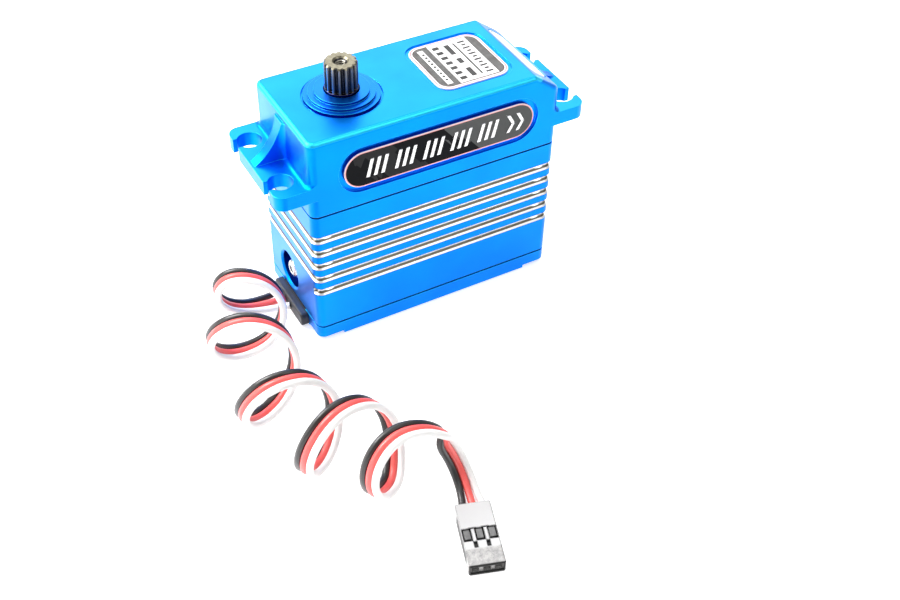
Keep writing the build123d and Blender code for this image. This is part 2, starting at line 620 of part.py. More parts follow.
WASHER_HEIGHTS = (
    (MIDDLE_TOP + 0.1, GEAR_1_WHEEL["low"] - 0.1),
    (top_of(GEAR_1_PINION) + 0.08, GEAR_3_WHEEL["low"] - 0.08),
    (top_of(GEAR_3_PINION) + 0.1, top_of(GEAR_3_PINION) + 0.6),
)
with BuildPart() as pin_washers:
    for low, high in WASHER_HEIGHTS:
        cylinder_between(PIN_X, low, high, PIN_R + 1.1)
        cylinder_between(PIN_X, low, high, PIN_R + 0.02, Mode.SUBTRACT)
save(pin_washers, "pin_washers")

with BuildPart() as output_spacer:
    spacer_low, spacer_high = MIDDLE_TOP + 0.05, HUB_LOW - 0.1
    cylinder_between(OUTPUT_X, spacer_low, spacer_high, LOWER_JOURNAL_R + 0.8)
    cylinder_between(OUTPUT_X, spacer_low, spacer_high, LOWER_JOURNAL_R, Mode.SUBTRACT)
save(output_spacer, "output_spacer")

# ============================== bearings ==============================


def bearing(sizes, name):
    """A ball bearing on the output axis: two grooved rings, balls and their cage."""
    low, width, ball = sizes["low"], sizes["width"], sizes["ball"]
    high, middle = low + width, low + width / 2
    pitch_r = (sizes["bore"] + sizes["outer"]) / 2
    inner_r, outer_r = pitch_r - 0.6 * ball, pitch_r + 0.6 * ball
    groove = ball + FIT

    with BuildPart() as inner:
        cylinder_between(OUTPUT_X, low, high, inner_r)
        cylinder_between(OUTPUT_X, low, high, sizes["bore"], Mode.SUBTRACT)
        with Locations((OUTPUT_X, 0, middle)):
            Torus(pitch_r, groove, mode=Mode.SUBTRACT)
    save(inner, f"{name}_inner_ring")

    with BuildPart() as outer:
        cylinder_between(OUTPUT_X, low, high, sizes["outer"])
        cylinder_between(OUTPUT_X, low, high, outer_r, Mode.SUBTRACT)
        with Locations((OUTPUT_X, 0, middle)):
            Torus(pitch_r, groove, mode=Mode.SUBTRACT)
    save(outer, f"{name}_outer_ring")

    with BuildPart() as balls:
        with Locations((OUTPUT_X, 0, middle)):
            with PolarLocations(pitch_r, sizes["balls"]):
                Sphere(ball)
    save(balls, f"{name}_balls")

    with BuildPart() as cage:
        cylinder_between(OUTPUT_X, middle - 0.8 * ball, high - 0.3, pitch_r + 0.25 * ball)
        cylinder_between(
            OUTPUT_X, middle - 0.8 * ball, high - 0.3, pitch_r - 0.25 * ball, Mode.SUBTRACT
        )
        with Locations((OUTPUT_X, 0, middle)):
            with PolarLocations(pitch_r, sizes["balls"]):
                Sphere(groove, mode=Mode.SUBTRACT)
    save(cage, f"{name}_cage")


bearing(UPPER_BEARING, "upper_bearing")
bearing(LOWER_BEARING, "lower_bearing")

with BuildPart() as output_seal:
    cylinder_between(OUTPUT_X, SEAL_LOW + 0.1, SEAL_TOP - 0.1, SEAL_R)
    cylinder_between(OUTPUT_X, SEAL_LOW + 0.1, SEAL_TOP - 0.1, UPPER_JOURNAL_R + FIT, Mode.SUBTRACT)
save(output_seal, "output_seal")

# =============================== motor ===============================

with BuildPart() as motor_can:
    cylinder_between(MOTOR_X, MOTOR_LOW, MOTOR_TOP, MOTOR_R)
    fillet(motor_can.faces().sort_by(Axis.Z)[-1].edges(), 1.0)
    cylinder_between(MOTOR_X, MOTOR_LOW, MOTOR_TOP - MOTOR_WALL, MOTOR_R - MOTOR_WALL, Mode.SUBTRACT)
    cylinder_between(MOTOR_X, MOTOR_TOP - 2.4, MOTOR_TOP + 1.4, MOTOR_BOSS_R)
    cylinder_between(MOTOR_X, MOTOR_TOP - 2.4, MOTOR_TOP + 1.4, 2.0, Mode.SUBTRACT)
    for side in (-1, 1):
        cylinder_between(
            MOTOR_X, MOTOR_TOP - MOTOR_WALL, MOTOR_TOP, 0.82, Mode.SUBTRACT, side * MOTOR_SCREW_Y
        )
save(motor_can, "motor_can")

with BuildPart() as motor_end_cap:
    cylinder_between(MOTOR_X, MOTOR_LOW - 1.2, MOTOR_LOW - 0.05, MOTOR_R - 0.3)
    cylinder_between(MOTOR_X, MOTOR_LOW - 0.05, MOTOR_LOW + 1.6, MOTOR_R - MOTOR_WALL - 0.02)
    cylinder_between(MOTOR_X, MOTOR_LOW - 1.2, MOTOR_LOW + 1.6, 2.0, Mode.SUBTRACT)
    for side in (-1, 1):
        with Locations((MOTOR_X, side * 6.65, MOTOR_LOW + 3.0)):
            Box(3.0, 1.6, 3.6)
save(motor_end_cap, "motor_end_cap")

with BuildPart() as motor_bushings:
    for low, high in ((MOTOR_LOW - 1.0, MOTOR_LOW + 1.6), (MOTOR_TOP - 2.2, MOTOR_TOP + 1.3)):
        cylinder_between(MOTOR_X, low, high, 2.0)
        cylinder_between(MOTOR_X, low, high, MOTOR_SHAFT_R + 0.04, Mode.SUBTRACT)
save(motor_bushings, "motor_bushings")

MAGNET_LOW, MAGNET_TOP, MAGNET_GAP = 14.0, 32.0, 5.0
with BuildPart() as motor_magnets:
    cylinder_between(MOTOR_X, MAGNET_LOW, MAGNET_TOP, MOTOR_R - MOTOR_WALL - FIT)
    cylinder_between(MOTOR_X, MAGNET_LOW, MAGNET_TOP, ARMATURE_R + 0.5, Mode.SUBTRACT)
    with Locations((MOTOR_X, 0, (MAGNET_LOW + MAGNET_TOP) / 2)):
        Box(MAGNET_GAP, 3 * MOTOR_R, MOTOR_TOP, mode=Mode.SUBTRACT)
save(motor_magnets, "motor_magnets")

with BuildPart() as motor_shaft:
    cylinder_between(MOTOR_X, MOTOR_LOW - 0.9, top_of(MOTOR_PINION) + 0.1, MOTOR_SHAFT_R)
    chamfer(motor_shaft.faces().filter_by(Axis.Z).edges(), 0.2)
save(motor_shaft, "motor_shaft")

with BuildPart() as motor_pinion:
    gear_layer(MOTOR_X, **MOTOR_PINION)
    cylinder_between(MOTOR_X, MOTOR_PINION["low"], top_of(MOTOR_PINION), MOTOR_SHAFT_R, Mode.SUBTRACT)
save(motor_pinion, "motor_pinion")

HUB_CORE_R, POLE_WIDTH, SHOE_THICK, SHOE_ANGLE, END_TURNS = 2.6, 1.8, 1.3, 26, 2.0
STACK_HEIGHT = ARMATURE_TOP - ARMATURE_LOW - 2 * END_TURNS
with BuildPart() as armature_core:
    shoe_r, shoe_end = ARMATURE_R - SHOE_THICK, radians(SHOE_ANGLE)
    with BuildSketch(Plane((MOTOR_X, 0, ARMATURE_LOW + END_TURNS))):
        Circle(HUB_CORE_R)
        with PolarLocations(4.4, POLES):
            Rectangle(4.4, POLE_WIDTH)
        with PolarLocations(0, POLES):
            with BuildLine():
                CenterArc((0, 0), ARMATURE_R, -SHOE_ANGLE, 2 * SHOE_ANGLE)
                Line(polar(ARMATURE_R, shoe_end), polar(shoe_r, shoe_end))
                CenterArc((0, 0), shoe_r, SHOE_ANGLE, -2 * SHOE_ANGLE)
                Line(polar(shoe_r, -shoe_end), polar(ARMATURE_R, -shoe_end))
            make_face()
        Circle(MOTOR_SHAFT_R, mode=Mode.SUBTRACT)
    extrude(amount=STACK_HEIGHT)
save(armature_core, "armature_core")

with BuildPart() as armature_windings:
    with Locations((MOTOR_X, 0, (ARMATURE_LOW + ARMATURE_TOP) / 2)):
        with PolarLocations(4.6, POLES):
            Box(2.8, POLE_WIDTH + 2.0, ARMATURE_TOP - ARMATURE_LOW)
            Box(2.9, POLE_WIDTH + 0.02, STACK_HEIGHT + 0.04, mode=Mode.SUBTRACT)
save(armature_windings, "armature_windings")

COMMUTATOR_LOW, COMMUTATOR_HEIGHT = 12.4, 3.0
with BuildPart() as commutator:
    with BuildSketch(Plane((MOTOR_X, 0, COMMUTATOR_LOW))):
        Circle(HUB_CORE_R)
        Circle(MOTOR_SHAFT_R, mode=Mode.SUBTRACT)
        with PolarLocations(HUB_CORE_R - 0.3, POLES, start_angle=180 / POLES):
            Rectangle(0.9, 0.3, mode=Mode.SUBTRACT)
    extrude(amount=COMMUTATOR_HEIGHT)
save(commutator, "commutator")

BRUSH_LENGTH = 3.0
with BuildPart() as motor_brushes:
    for side in (-1, 1):
        brush_y = side * (HUB_CORE_R + 0.2 + BRUSH_LENGTH / 2)
        with Locations((MOTOR_X, brush_y, COMMUTATOR_LOW + COMMUTATOR_HEIGHT / 2)):
            Box(2.2, BRUSH_LENGTH, 2.0)
save(motor_brushes, "motor_brushes")

MOTOR_SCREW_HEAD_LOW, MOTOR_SCREW_HEAD_TOP = 37.75, 39.1
with BuildPart() as motor_screws:
    for side in (-1, 1):
        screw_y = side * MOTOR_SCREW_Y
        cylinder_between(MOTOR_X, MOTOR_TOP - 0.8, 38.0, 0.8, y=screw_y)
        cylinder_between(MOTOR_X, MOTOR_SCREW_HEAD_LOW, MOTOR_SCREW_HEAD_TOP, 1.9, y=screw_y)
        with Locations((MOTOR_X, screw_y, MOTOR_SCREW_HEAD_TOP - 0.3)):
            Box(2.4, 0.5, 0.7, mode=Mode.SUBTRACT)
            Box(0.5, 2.4, 0.7, mode=Mode.SUBTRACT)
save(motor_screws, "motor_screws")

# ================== position sensor and control board ==================

with BuildPart() as pot_body:
    pot_floor, pot_ceiling = POT_LOW + 1.0, POT_TOP - 1.5
    cylinder_between(OUTPUT_X, POT_LOW, POT_TOP, POT_R)
    cylinder_between(OUTPUT_X, POT_TOP, LOWER_BEARING["low"] - 0.1, LOWER_BEARING["outer"] - 1.0)
    with Locations((OUTPUT_X, -POT_R, POT_LOW + 1.6)):
        Box(7.0, 3.0, 1.6)
    cylinder_between(OUTPUT_X, pot_floor, pot_ceiling, POT_R - 0.9, Mode.SUBTRACT)
    cylinder_between(OUTPUT_X, pot_floor, LOWER_BEARING["low"], POT_SHAFT_R + FIT, Mode.SUBTRACT)
save(pot_body, "pot_body")

with BuildPart() as pot_shaft:
    cylinder_between(OUTPUT_X, POT_LOW + 1.3, 39.6, POT_SHAFT_R)
save(pot_shaft, "pot_shaft")

with BuildPart() as pot_wiper:
    wiper_low, wiper_high, wiper_hub_r = POT_LOW + 2.2, POT_LOW + 3.2, 3.2
    cylinder_between(OUTPUT_X, wiper_low, wiper_high, wiper_hub_r)
    with Locations((OUTPUT_X + wiper_hub_r - 0.2, 0, wiper_low + 0.3)):
        Box(2.4, 1.2, 0.4)
    cylinder_between(OUTPUT_X, wiper_low, wiper_high, POT_SHAFT_R, Mode.SUBTRACT)
save(pot_wiper, "pot_wiper")

BOARD_TOP = BOARD_LOW + BOARD_THICK
with BuildPart() as control_board:
    with BuildSketch(Plane.XY.offset(BOARD_LOW)):
        with Locations((BOARD_X, 0)):
            RectangleRounded(BOARD_LENGTH, BOARD_WIDTH, 1.0)
        with GridLocations(2 * SCREW_X, 2 * SCREW_Y, 2, 2):
            Circle(SCREW_COLUMN_R + 0.5, mode=Mode.SUBTRACT)
    extrude(amount=BOARD_THICK)
save(control_board, "control_board")


def chips(name, spots, length, width, height):
    """Chip packages standing on the board, with a small pin-one dimple each."""
    with BuildPart() as group:
        for x, y in spots:
            with Locations((x, y, BOARD_TOP + height / 2)):
                Box(length, width, height)
        chamfer(group.faces().group_by(Axis.Z)[-1].edges(), 0.15)
        for x, y in spots:
            dimple_x, dimple_y = x - length / 2 + 0.7, y - width / 2 + 0.7
            chip_top = BOARD_TOP + height
            cylinder_between(dimple_x, chip_top - 0.15, chip_top, 0.3, Mode.SUBTRACT, dimple_y)
    save(group, name)


chips("driver_chips", ((-4.5, -6.5), (-4.5, 0.0), (-4.5, 6.5)), 5.0, 4.2, 1.0)
chips("processor_chip", ((-15.5, 4.5),), 7.0, 7.0, 1.0)

CAPACITOR_X, CAPACITOR_Y = -24.2, 4.6
with BuildPart() as capacitor:
    cylinder_between(CAPACITOR_X, BOARD_TOP, BOARD_TOP + 9.0, 3.1, y=CAPACITOR_Y)
    fillet(capacitor.faces().sort_by(Axis.Z)[-1].edges(), 0.5)
    with Locations((CAPACITOR_X, CAPACITOR_Y, BOARD_TOP + 1.4)):
        Torus(3.3, 0.35, mode=Mode.SUBTRACT)
save(capacitor, "capacitor")


def wires(name, routes, radius):
    """A group of short wires, each along its own route."""
    with BuildPart() as group:
        for route in routes:
            add(tube(route, radius).part)
    save(group, name)


POT_TAB_Y, POT_TAB_LOW = -POT_R - 0.6, POT_LOW + 0.8
POT_LEAD_ROUTES = [
    (
        (x, POT_TAB_Y, POT_TAB_LOW),
        (x, POT_TAB_Y, POT_TAB_LOW - 4.0),
        (x, POT_TAB_Y - 1.9, (POT_TAB_LOW + BOARD_TOP) / 2),
        (x, POT_TAB_Y, BOARD_TOP + 4.0),
        (x, POT_TAB_Y, BOARD_TOP),
    )
    for x in (OUTPUT_X - 2.4, OUTPUT_X, OUTPUT_X + 2.4)
]
MOTOR_LEAD_ROUTES = [((MOTOR_X, y, MOTOR_LOW - 1.2), (MOTOR_X, y, BOARD_TOP)) for y in (-10.0, 10.0)]
CORE_X, CORE_Z = -26.5, 2.8
LEAD_CORE_ROUTES = [
    ((-END_X + WALL + 1.05, y, CORE_Z), (CORE_X, y, CORE_Z), (CORE_X, y, BOARD_LOW)) for y in WIRE_Y
]
wires("pot_leads", POT_LEAD_ROUTES, 0.45)
wires("motor_leads", MOTOR_LEAD_ROUTES, 0.6)
wires("lead_cores", LEAD_CORE_ROUTES, WIRE_R)

# ==================== port screw, grommet, lead and plug ====================

BUTTON_R, BUTTON_TOP_R, BUTTON_HEIGHT, BUTTON_RIM, PORT_SCREW_REACH = 2.5, 1.5, 2.6, 1.5, 2.2
with BuildPart() as port_screw:
    head_x = -END_X + PORT_DEPTH
    rim_x, dome_x, tip_x = head_x - BUTTON_RIM, head_x - BUTTON_HEIGHT, head_x + PORT_SCREW_REACH
    rim_z, shank_z = PORT_Z + BUTTON_R, PORT_Z + SCREW_R
    with BuildSketch(Plane.XZ.offset(-PORT_Y)):
        with BuildLine():
            Polyline(
                (dome_x, PORT_Z + BUTTON_TOP_R),
                (dome_x, PORT_Z),
                (tip_x, PORT_Z),
                (tip_x, shank_z),
                (head_x, shank_z),
                (head_x, rim_z),
                (rim_x, rim_z),
            )
            shoulder_x, shoulder_z = rim_x - 0.75, rim_z - 0.35
            ThreePointArc((rim_x, rim_z), (shoulder_x, shoulder_z), (dome_x, PORT_Z + BUTTON_TOP_R))
        make_face()
    revolve(axis=Axis((0, PORT_Y, PORT_Z), (1, 0, 0)))
    with BuildSketch(Plane.YZ.offset(dome_x - 0.1)):
        with Locations((PORT_Y, PORT_Z)):
            RegularPolygon(1.15, 6)
    extrude(amount=1.1, mode=Mode.SUBTRACT)
save(port_screw, "port_screw")

with BuildPart() as cable_grommet:
    middle_z = (GROMMET_LOW + GROMMET_TOP) / 2
    with BuildSketch(Plane.YZ.offset(-END_X - GROMMET_PROUD)):
        with Locations((0, middle_z)):
            RectangleRounded(GROMMET_WIDTH, GROMMET_TOP - GROMMET_LOW, 1.2)
    extrude(amount=GROMMET_PROUD - 0.02)
    fillet(cable_grommet.faces().sort_by(Axis.X)[0].edges(), 0.5)
    slot_z = (COVER_FLOOR + GROMMET_TOP) / 2
    with Locations((-END_X + WALL / 2, 0, slot_z)):
        Box(WALL + 0.3, GROMMET_SLOT - 0.1, GROMMET_TOP - COVER_FLOOR - 0.1)
    with Locations((-END_X + WALL + 0.55, 0, slot_z)):
        Box(1.0, GROMMET_SLOT + 1.2, GROMMET_TOP - COVER_FLOOR - 0.1)
save(cable_grommet, "cable_grommet")

save(tube(EXIT_ROUTE, LEAD_TUBE_R), "lead_exit")
save(tube(CURL_ROUTE, CURL_R), "lead_curl")
save(tube(TAIL_ROUTE, LEAD_TUBE_R), "lead_end")

PLUG_PLANE = Plane(
    origin=(PLUG_CENTRE[0], PLUG_CENTRE[1], 0),
    x_dir=(cos(radians(90 - PLUG_TURN)), sin(radians(90 - PLUG_TURN)), 0),
    z_dir=(0, 0, 1),
)
WINDOW_X, WINDOW_LENGTH, WINDOW_WIDTH, WINDOW_DEPTH = -0.15, 3.3, 2.0, 1.3
LANCE_LENGTH, LANCE_WIDTH, LANCE_TOP = 2.4, 1.35, 2.75
CHANNEL_LOW, CHANNEL_LENGTH, CHANNEL_SIZE, CONTACT_GAP = 0.8, 10.0, 1.5, 0.1


def plug_boxes(plane, centre_x, pitch, count, length, width, height, mode=Mode.ADD):
    """A row of equal boxes across the plug, standing on a plane or cut down from it."""
    with BuildSketch(plane) as row:
        with Locations((centre_x, 0)):
            with GridLocations(1, pitch, 1, count):
                Rectangle(length, width)
    extrude(row.sketch, amount=height, mode=mode)


with BuildPart() as plug_housing:
    plug_boxes(PLUG_PLANE, 0, 1, 1, PLUG_LENGTH, PLUG_WIDTH, PLUG_THICK)
    chamfer(plug_housing.edges().filter_by(Axis.Z), 0.3)
    chamfer(plug_housing.faces().sort_by(Axis.Z)[-1].edges(), 0.15)
    # a shallow mouth at the front, and three contact channels behind it
    front_x, upper_face = -PLUG_LENGTH / 2, PLUG_PLANE.offset(PLUG_THICK)
    plug_boxes(PLUG_PLANE.offset(0.5), front_x, 1, 1, 1.0, PLUG_WIDTH - 0.8, 2.1, Mode.SUBTRACT)
    channel_floor, channel_x = PLUG_PLANE.offset(CHANNEL_LOW), front_x + CHANNEL_LENGTH / 2
    channel = (CHANNEL_LENGTH, CHANNEL_SIZE, CHANNEL_SIZE)
    plug_boxes(channel_floor, channel_x, CONTACT_PITCH, 3, *channel, Mode.SUBTRACT)
    # windows over the contacts, the ends of the two locking tabs, and finger grips before them
    window = (WINDOW_LENGTH, WINDOW_WIDTH, -WINDOW_DEPTH)
    plug_boxes(upper_face, WINDOW_X, WINDOW_PITCH, 3, *window, Mode.SUBTRACT)
    plug_boxes(upper_face, WINDOW_X + WINDOW_LENGTH / 2, WINDOW_PITCH, 2, 0.3, 1.6, -0.6, Mode.SUBTRACT)
    plug_boxes(upper_face, WINDOW_X - 2.6, WINDOW_PITCH, 2, 1.6, 0.8, -0.6, Mode.SUBTRACT)
save(plug_housing, "plug_housing")

with BuildPart() as plug_contacts:
    contact_floor = PLUG_PLANE.offset(CHANNEL_LOW + CONTACT_GAP)
    contact_size = CHANNEL_SIZE - 2 * CONTACT_GAP
    plug_boxes(contact_floor, front_x + 5.4, CONTACT_PITCH, 3, 8.0, contact_size, contact_size)
    plug_boxes(contact_floor.offset(0.25), front_x + 3.0, CONTACT_PITCH, 3, 6.0, 0.8, 0.8, Mode.SUBTRACT)
    lance_height = LANCE_TOP - CHANNEL_LOW - 1.0
    plug_boxes(contact_floor.offset(0.9), 0.1, WINDOW_PITCH, 3, LANCE_LENGTH, LANCE_WIDTH, lance_height)
save(plug_contacts, "plug_contacts")
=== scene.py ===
import json
from math import atan2, copysign, cos, pi, radians, sin

import bmesh
import bpy
from mathutils import Euler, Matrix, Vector


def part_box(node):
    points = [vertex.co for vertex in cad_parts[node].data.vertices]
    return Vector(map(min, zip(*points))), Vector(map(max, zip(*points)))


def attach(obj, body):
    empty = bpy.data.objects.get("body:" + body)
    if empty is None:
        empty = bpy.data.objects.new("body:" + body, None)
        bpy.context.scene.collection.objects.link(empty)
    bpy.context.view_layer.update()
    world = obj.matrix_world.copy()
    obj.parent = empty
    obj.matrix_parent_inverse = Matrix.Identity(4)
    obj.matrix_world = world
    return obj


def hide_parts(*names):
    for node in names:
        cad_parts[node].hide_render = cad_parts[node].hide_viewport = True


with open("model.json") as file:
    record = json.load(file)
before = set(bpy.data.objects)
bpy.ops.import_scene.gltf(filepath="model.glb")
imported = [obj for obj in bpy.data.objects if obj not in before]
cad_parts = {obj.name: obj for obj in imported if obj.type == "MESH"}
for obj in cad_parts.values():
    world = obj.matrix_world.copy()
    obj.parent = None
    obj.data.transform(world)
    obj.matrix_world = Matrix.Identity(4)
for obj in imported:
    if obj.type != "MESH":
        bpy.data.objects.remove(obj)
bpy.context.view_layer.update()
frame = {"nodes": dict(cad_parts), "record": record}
scene = bpy.context.scene
MM = 0.001


def metres(points):
    """Points given in millimetres, as vectors in metres."""
    return [Vector(p) * MM for p in points]


# ============================== camera ==============================

CAMERA_PLACE = (-0.11633, -0.21961, 0.22256)
CAMERA_TURN = (46.596, -1.301, -29.248)
CAMERA_LENS, SENSOR_WIDTH = 49.93, 36.0


def add_camera():
    data = bpy.data.cameras.new("camera")
    data.lens, data.sensor_width = CAMERA_LENS, SENSOR_WIDTH
    data.clip_start, data.clip_end = 0.01, 10.0
    camera = bpy.data.objects.new("camera", data)
    camera.location = CAMERA_PLACE
    camera.rotation_euler = Euler([radians(a) for a in CAMERA_TURN])
    scene.collection.objects.link(camera)
    scene.camera = camera


add_camera()

# ========================= mesh and curve helpers =========================


def new_piece(name, build, body, materials, smooth_angle):
    """A mesh piece from a function that fills a bmesh. It rides on a body and has the given materials.
    """
    mesh = bpy.data.meshes.new(name)
    bm = bmesh.new()
    build(bm)
    bmesh.ops.recalc_face_normals(bm, faces=bm.faces)
    for face in bm.faces:
        face.smooth = True
    for edge in bm.edges:
        if len(edge.link_faces) == 2 and edge.calc_face_angle(0) > radians(smooth_angle):
            edge.smooth = False
    bm.to_mesh(mesh)
    bm.free()
    for material in materials:
        mesh.materials.append(material)
    piece = bpy.data.objects.new(name, mesh)
    scene.collection.objects.link(piece)
    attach(piece, body)
    return piece


def smooth_line(points, per_run):
    """Points along the NURBS spline that has these control points, as a Blender curve draws it."""
    data = bpy.data.curves.new("line", "CURVE")
    data.dimensions = "3D"
    spline = data.splines.new("NURBS")
    spline.points.add(len(points) - 1)
    for knot, point in zip(spline.points, points):
        knot.co = (*point, 1)
    spline.order_u = 3
    spline.use_endpoint_u = True
    spline.resolution_u = per_run
    holder = bpy.data.objects.new("line", data)
    mesh = bpy.data.meshes.new_from_object(holder)
    line = [vertex.co.copy() for vertex in mesh.vertices]
    bpy.data.meshes.remove(mesh)
    bpy.data.objects.remove(holder)
    bpy.data.curves.remove(data)
    return line


def sweep_round(bm, line, radius, sides, material_index):
    """A closed round tube along a line that doesn't start upright, added to a bmesh."""
    side = Vector((0, 0, 1)).cross(line[1] - line[0])
    rings = []
    for i, point in enumerate(line):
        along = (line[min(i + 1, len(line) - 1)] - line[max(i - 1, 0)]).normalized()
        side = (side - along * side.dot(along)).normalized()
        up = along.cross(side)
        turns = [2 * pi * k / sides for k in range(sides)]
        rings.append([bm.verts.new(point + radius * (cos(t) * side + sin(t) * up)) for t in turns])
    faces = []
    for here, there in zip(rings, rings[1:]):
        for k in range(sides):
            faces.append(bm.faces.new((here[k], here[k - 1], there[k - 1], there[k])))
    for ring in (rings[0], rings[-1]):
        faces.append(bm.faces.new(ring))
    for face in faces:
        face.material_index = material_index


# ============================ node helpers ============================


def new_material(name):
    """A material with its node tree and its Principled shader."""
    material = bpy.data.materials.new(name)
    material.use_nodes = True
    return material, material.node_tree, material.node_tree.nodes["Principled BSDF"]


def put(tree, socket, value):
    """Links a socket, or sets a number or colour, into an input."""
    if isinstance(value, bpy.types.NodeSocket):
        tree.links.new(value, socket)
    elif isinstance(value, tuple) and len(value) == 3 and socket.type == "RGBA":
        socket.default_value = (*value, 1)
    else:
        socket.default_value = value


def maths(tree, operation, *values):
    node = tree.nodes.new("ShaderNodeMath")
    node.operation = operation
    for socket, value in zip(node.inputs, values):
        put(tree, socket, value)
    return node.outputs[0]


def blend(tree, share, first, second):
    """Mixes two colours: the first at share 0, the second at share 1."""
    node = tree.nodes.new("ShaderNodeMix")
    node.data_type = "RGBA"
    put(tree, node.inputs[0], share)
    put(tree, node.inputs[6], first)
    put(tree, node.inputs[7], second)
    return node.outputs[2]


def spread(tree, value, low, high, to_low=0.0, to_high=1.0):
    """Maps a value from one range to another, clamped."""
    node = tree.nodes.new("ShaderNodeMapRange")
    for socket, number in zip(node.inputs, (value, low, high, to_low, to_high)):
        put(tree, socket, number)
    return node.outputs[0]


def vary(tree, field, to_low=0.0, to_high=1.0, reach=0.2):
    """Maps the middle of a noise field, this far on each side of one half, to a range."""
    return spread(tree, field, 0.5 - reach, 0.5 + reach, to_low, to_high)


def place(tree, scale=(1, 1, 1), turn=(0, 0, 0)):
    """The point on the object in metres, scaled and turned."""
    coordinates = tree.nodes.new("ShaderNodeTexCoord")
    mapping = tree.nodes.new("ShaderNodeMapping")
    mapping.inputs["Scale"].default_value = scale
    mapping.inputs["Rotation"].default_value = turn
    tree.links.new(coordinates.outputs["Object"], mapping.inputs["Vector"])
    return mapping.outputs[0]


def axes(tree, vector):
    """The x, y and z of a vector."""
    node = tree.nodes.new("ShaderNodeSeparateXYZ")
    tree.links.new(vector, node.inputs[0])
    return node.outputs


def span(tree, first, second):
    """The length of a step that has these two parts at right angles."""
    squares = [maths(tree, "MULTIPLY", part, part) for part in (first, second)]
    return maths(tree, "SQRT", maths(tree, "ADD", *squares))


def noise(tree, vector, scale, detail, roughness=0.55):
    node = tree.nodes.new("ShaderNodeTexNoise")
    tree.links.new(vector, node.inputs["Vector"])
    node.inputs["Scale"].default_value = scale
    node.inputs["Detail"].default_value = detail
    node.inputs["Roughness"].default_value = roughness
    return node.outputs[0]


BEVEL_SAMPLES = 6
# How well the rounded normal agrees with the face's own, on a flat face and on a sharp edge.
FLAT_AGREEMENT, SHARP_AGREEMENT = 0.995, 0.85


def edges(tree, radius):
    """1 on sharp edges, 0 on flat faces, and the normal with those edges rounded."""
    bevel = tree.nodes.new("ShaderNodeBevel")
    bevel.samples = BEVEL_SAMPLES
    bevel.inputs["Radius"].default_value = radius
    geometry = tree.nodes.new("ShaderNodeNewGeometry")
    dot = tree.nodes.new("ShaderNodeVectorMath")
    dot.operation = "DOT_PRODUCT"
    tree.links.new(bevel.outputs[0], dot.inputs[0])
    tree.links.new(geometry.outputs["Normal"], dot.inputs[1])
    return spread(tree, dot.outputs["Value"], FLAT_AGREEMENT, SHARP_AGREEMENT), bevel.outputs[0]


BUMP_DEPTH, BLASTED_DEPTH = 0.03 * MM, 0.04 * MM


def bump(tree, shader, height, strength, normal=None, depth=BUMP_DEPTH):
    """Gives a shader a fine relief, on top of another normal if there is one."""
    node = tree.nodes.new("ShaderNodeBump")
    node.inputs["Strength"].default_value = strength
    node.inputs["Distance"].default_value = depth
    tree.links.new(height, node.inputs["Height"])
    if normal is not None:
        tree.links.new(normal, node.inputs["Normal"])
    tree.links.new(node.outputs[0], shader.inputs["Normal"])


# ============================ materials ============================

# The third colour is the pale cyan of the edges: wear with a painted highlight.
AZURE, AZURE_DEEP, AZURE_WEAR_AND_HIGHLIGHT = (0.0, 0.25, 0.93), (0.0, 0.20, 0.88), (0.04, 0.78, 1.0)
# NAVY_SHADE is painted shade, for upright walls, hollows, and the rims of grooves and recesses.
BOSS_AZURE, NAVY_SHADE = (0.0, 0.13, 0.78), (0.0, 0.03, 0.30)
# The bare metal cut in the grooves, and the grey of the painted shade deep in them.
BARE_ALUMINIUM, GROOVE_SHADE_GREY = (0.96, 0.96, 0.95), (0.16, 0.13, 0.095)
# The radii that the light sees on the edges of the case and of its grooves.
CASE_EDGE, GROOVE_EDGE = 0.16 * MM, 0.08 * MM
# How far the treads of the boss take their deeper blue, and how far the top edges and the sharp edges
# take their pale cyan of wear with a painted highlight.
TREAD_SHARE, TOP_HIGHLIGHT_SHARE, WEAR_AND_HIGHLIGHT_SHARE = 0.75, 0.75, 0.7
# The change of roughness in the grooves.
GROOVE_POLISH = -0.06
# Half the width over which one painted colour turns into the next.
BLUR = 0.03 * MM


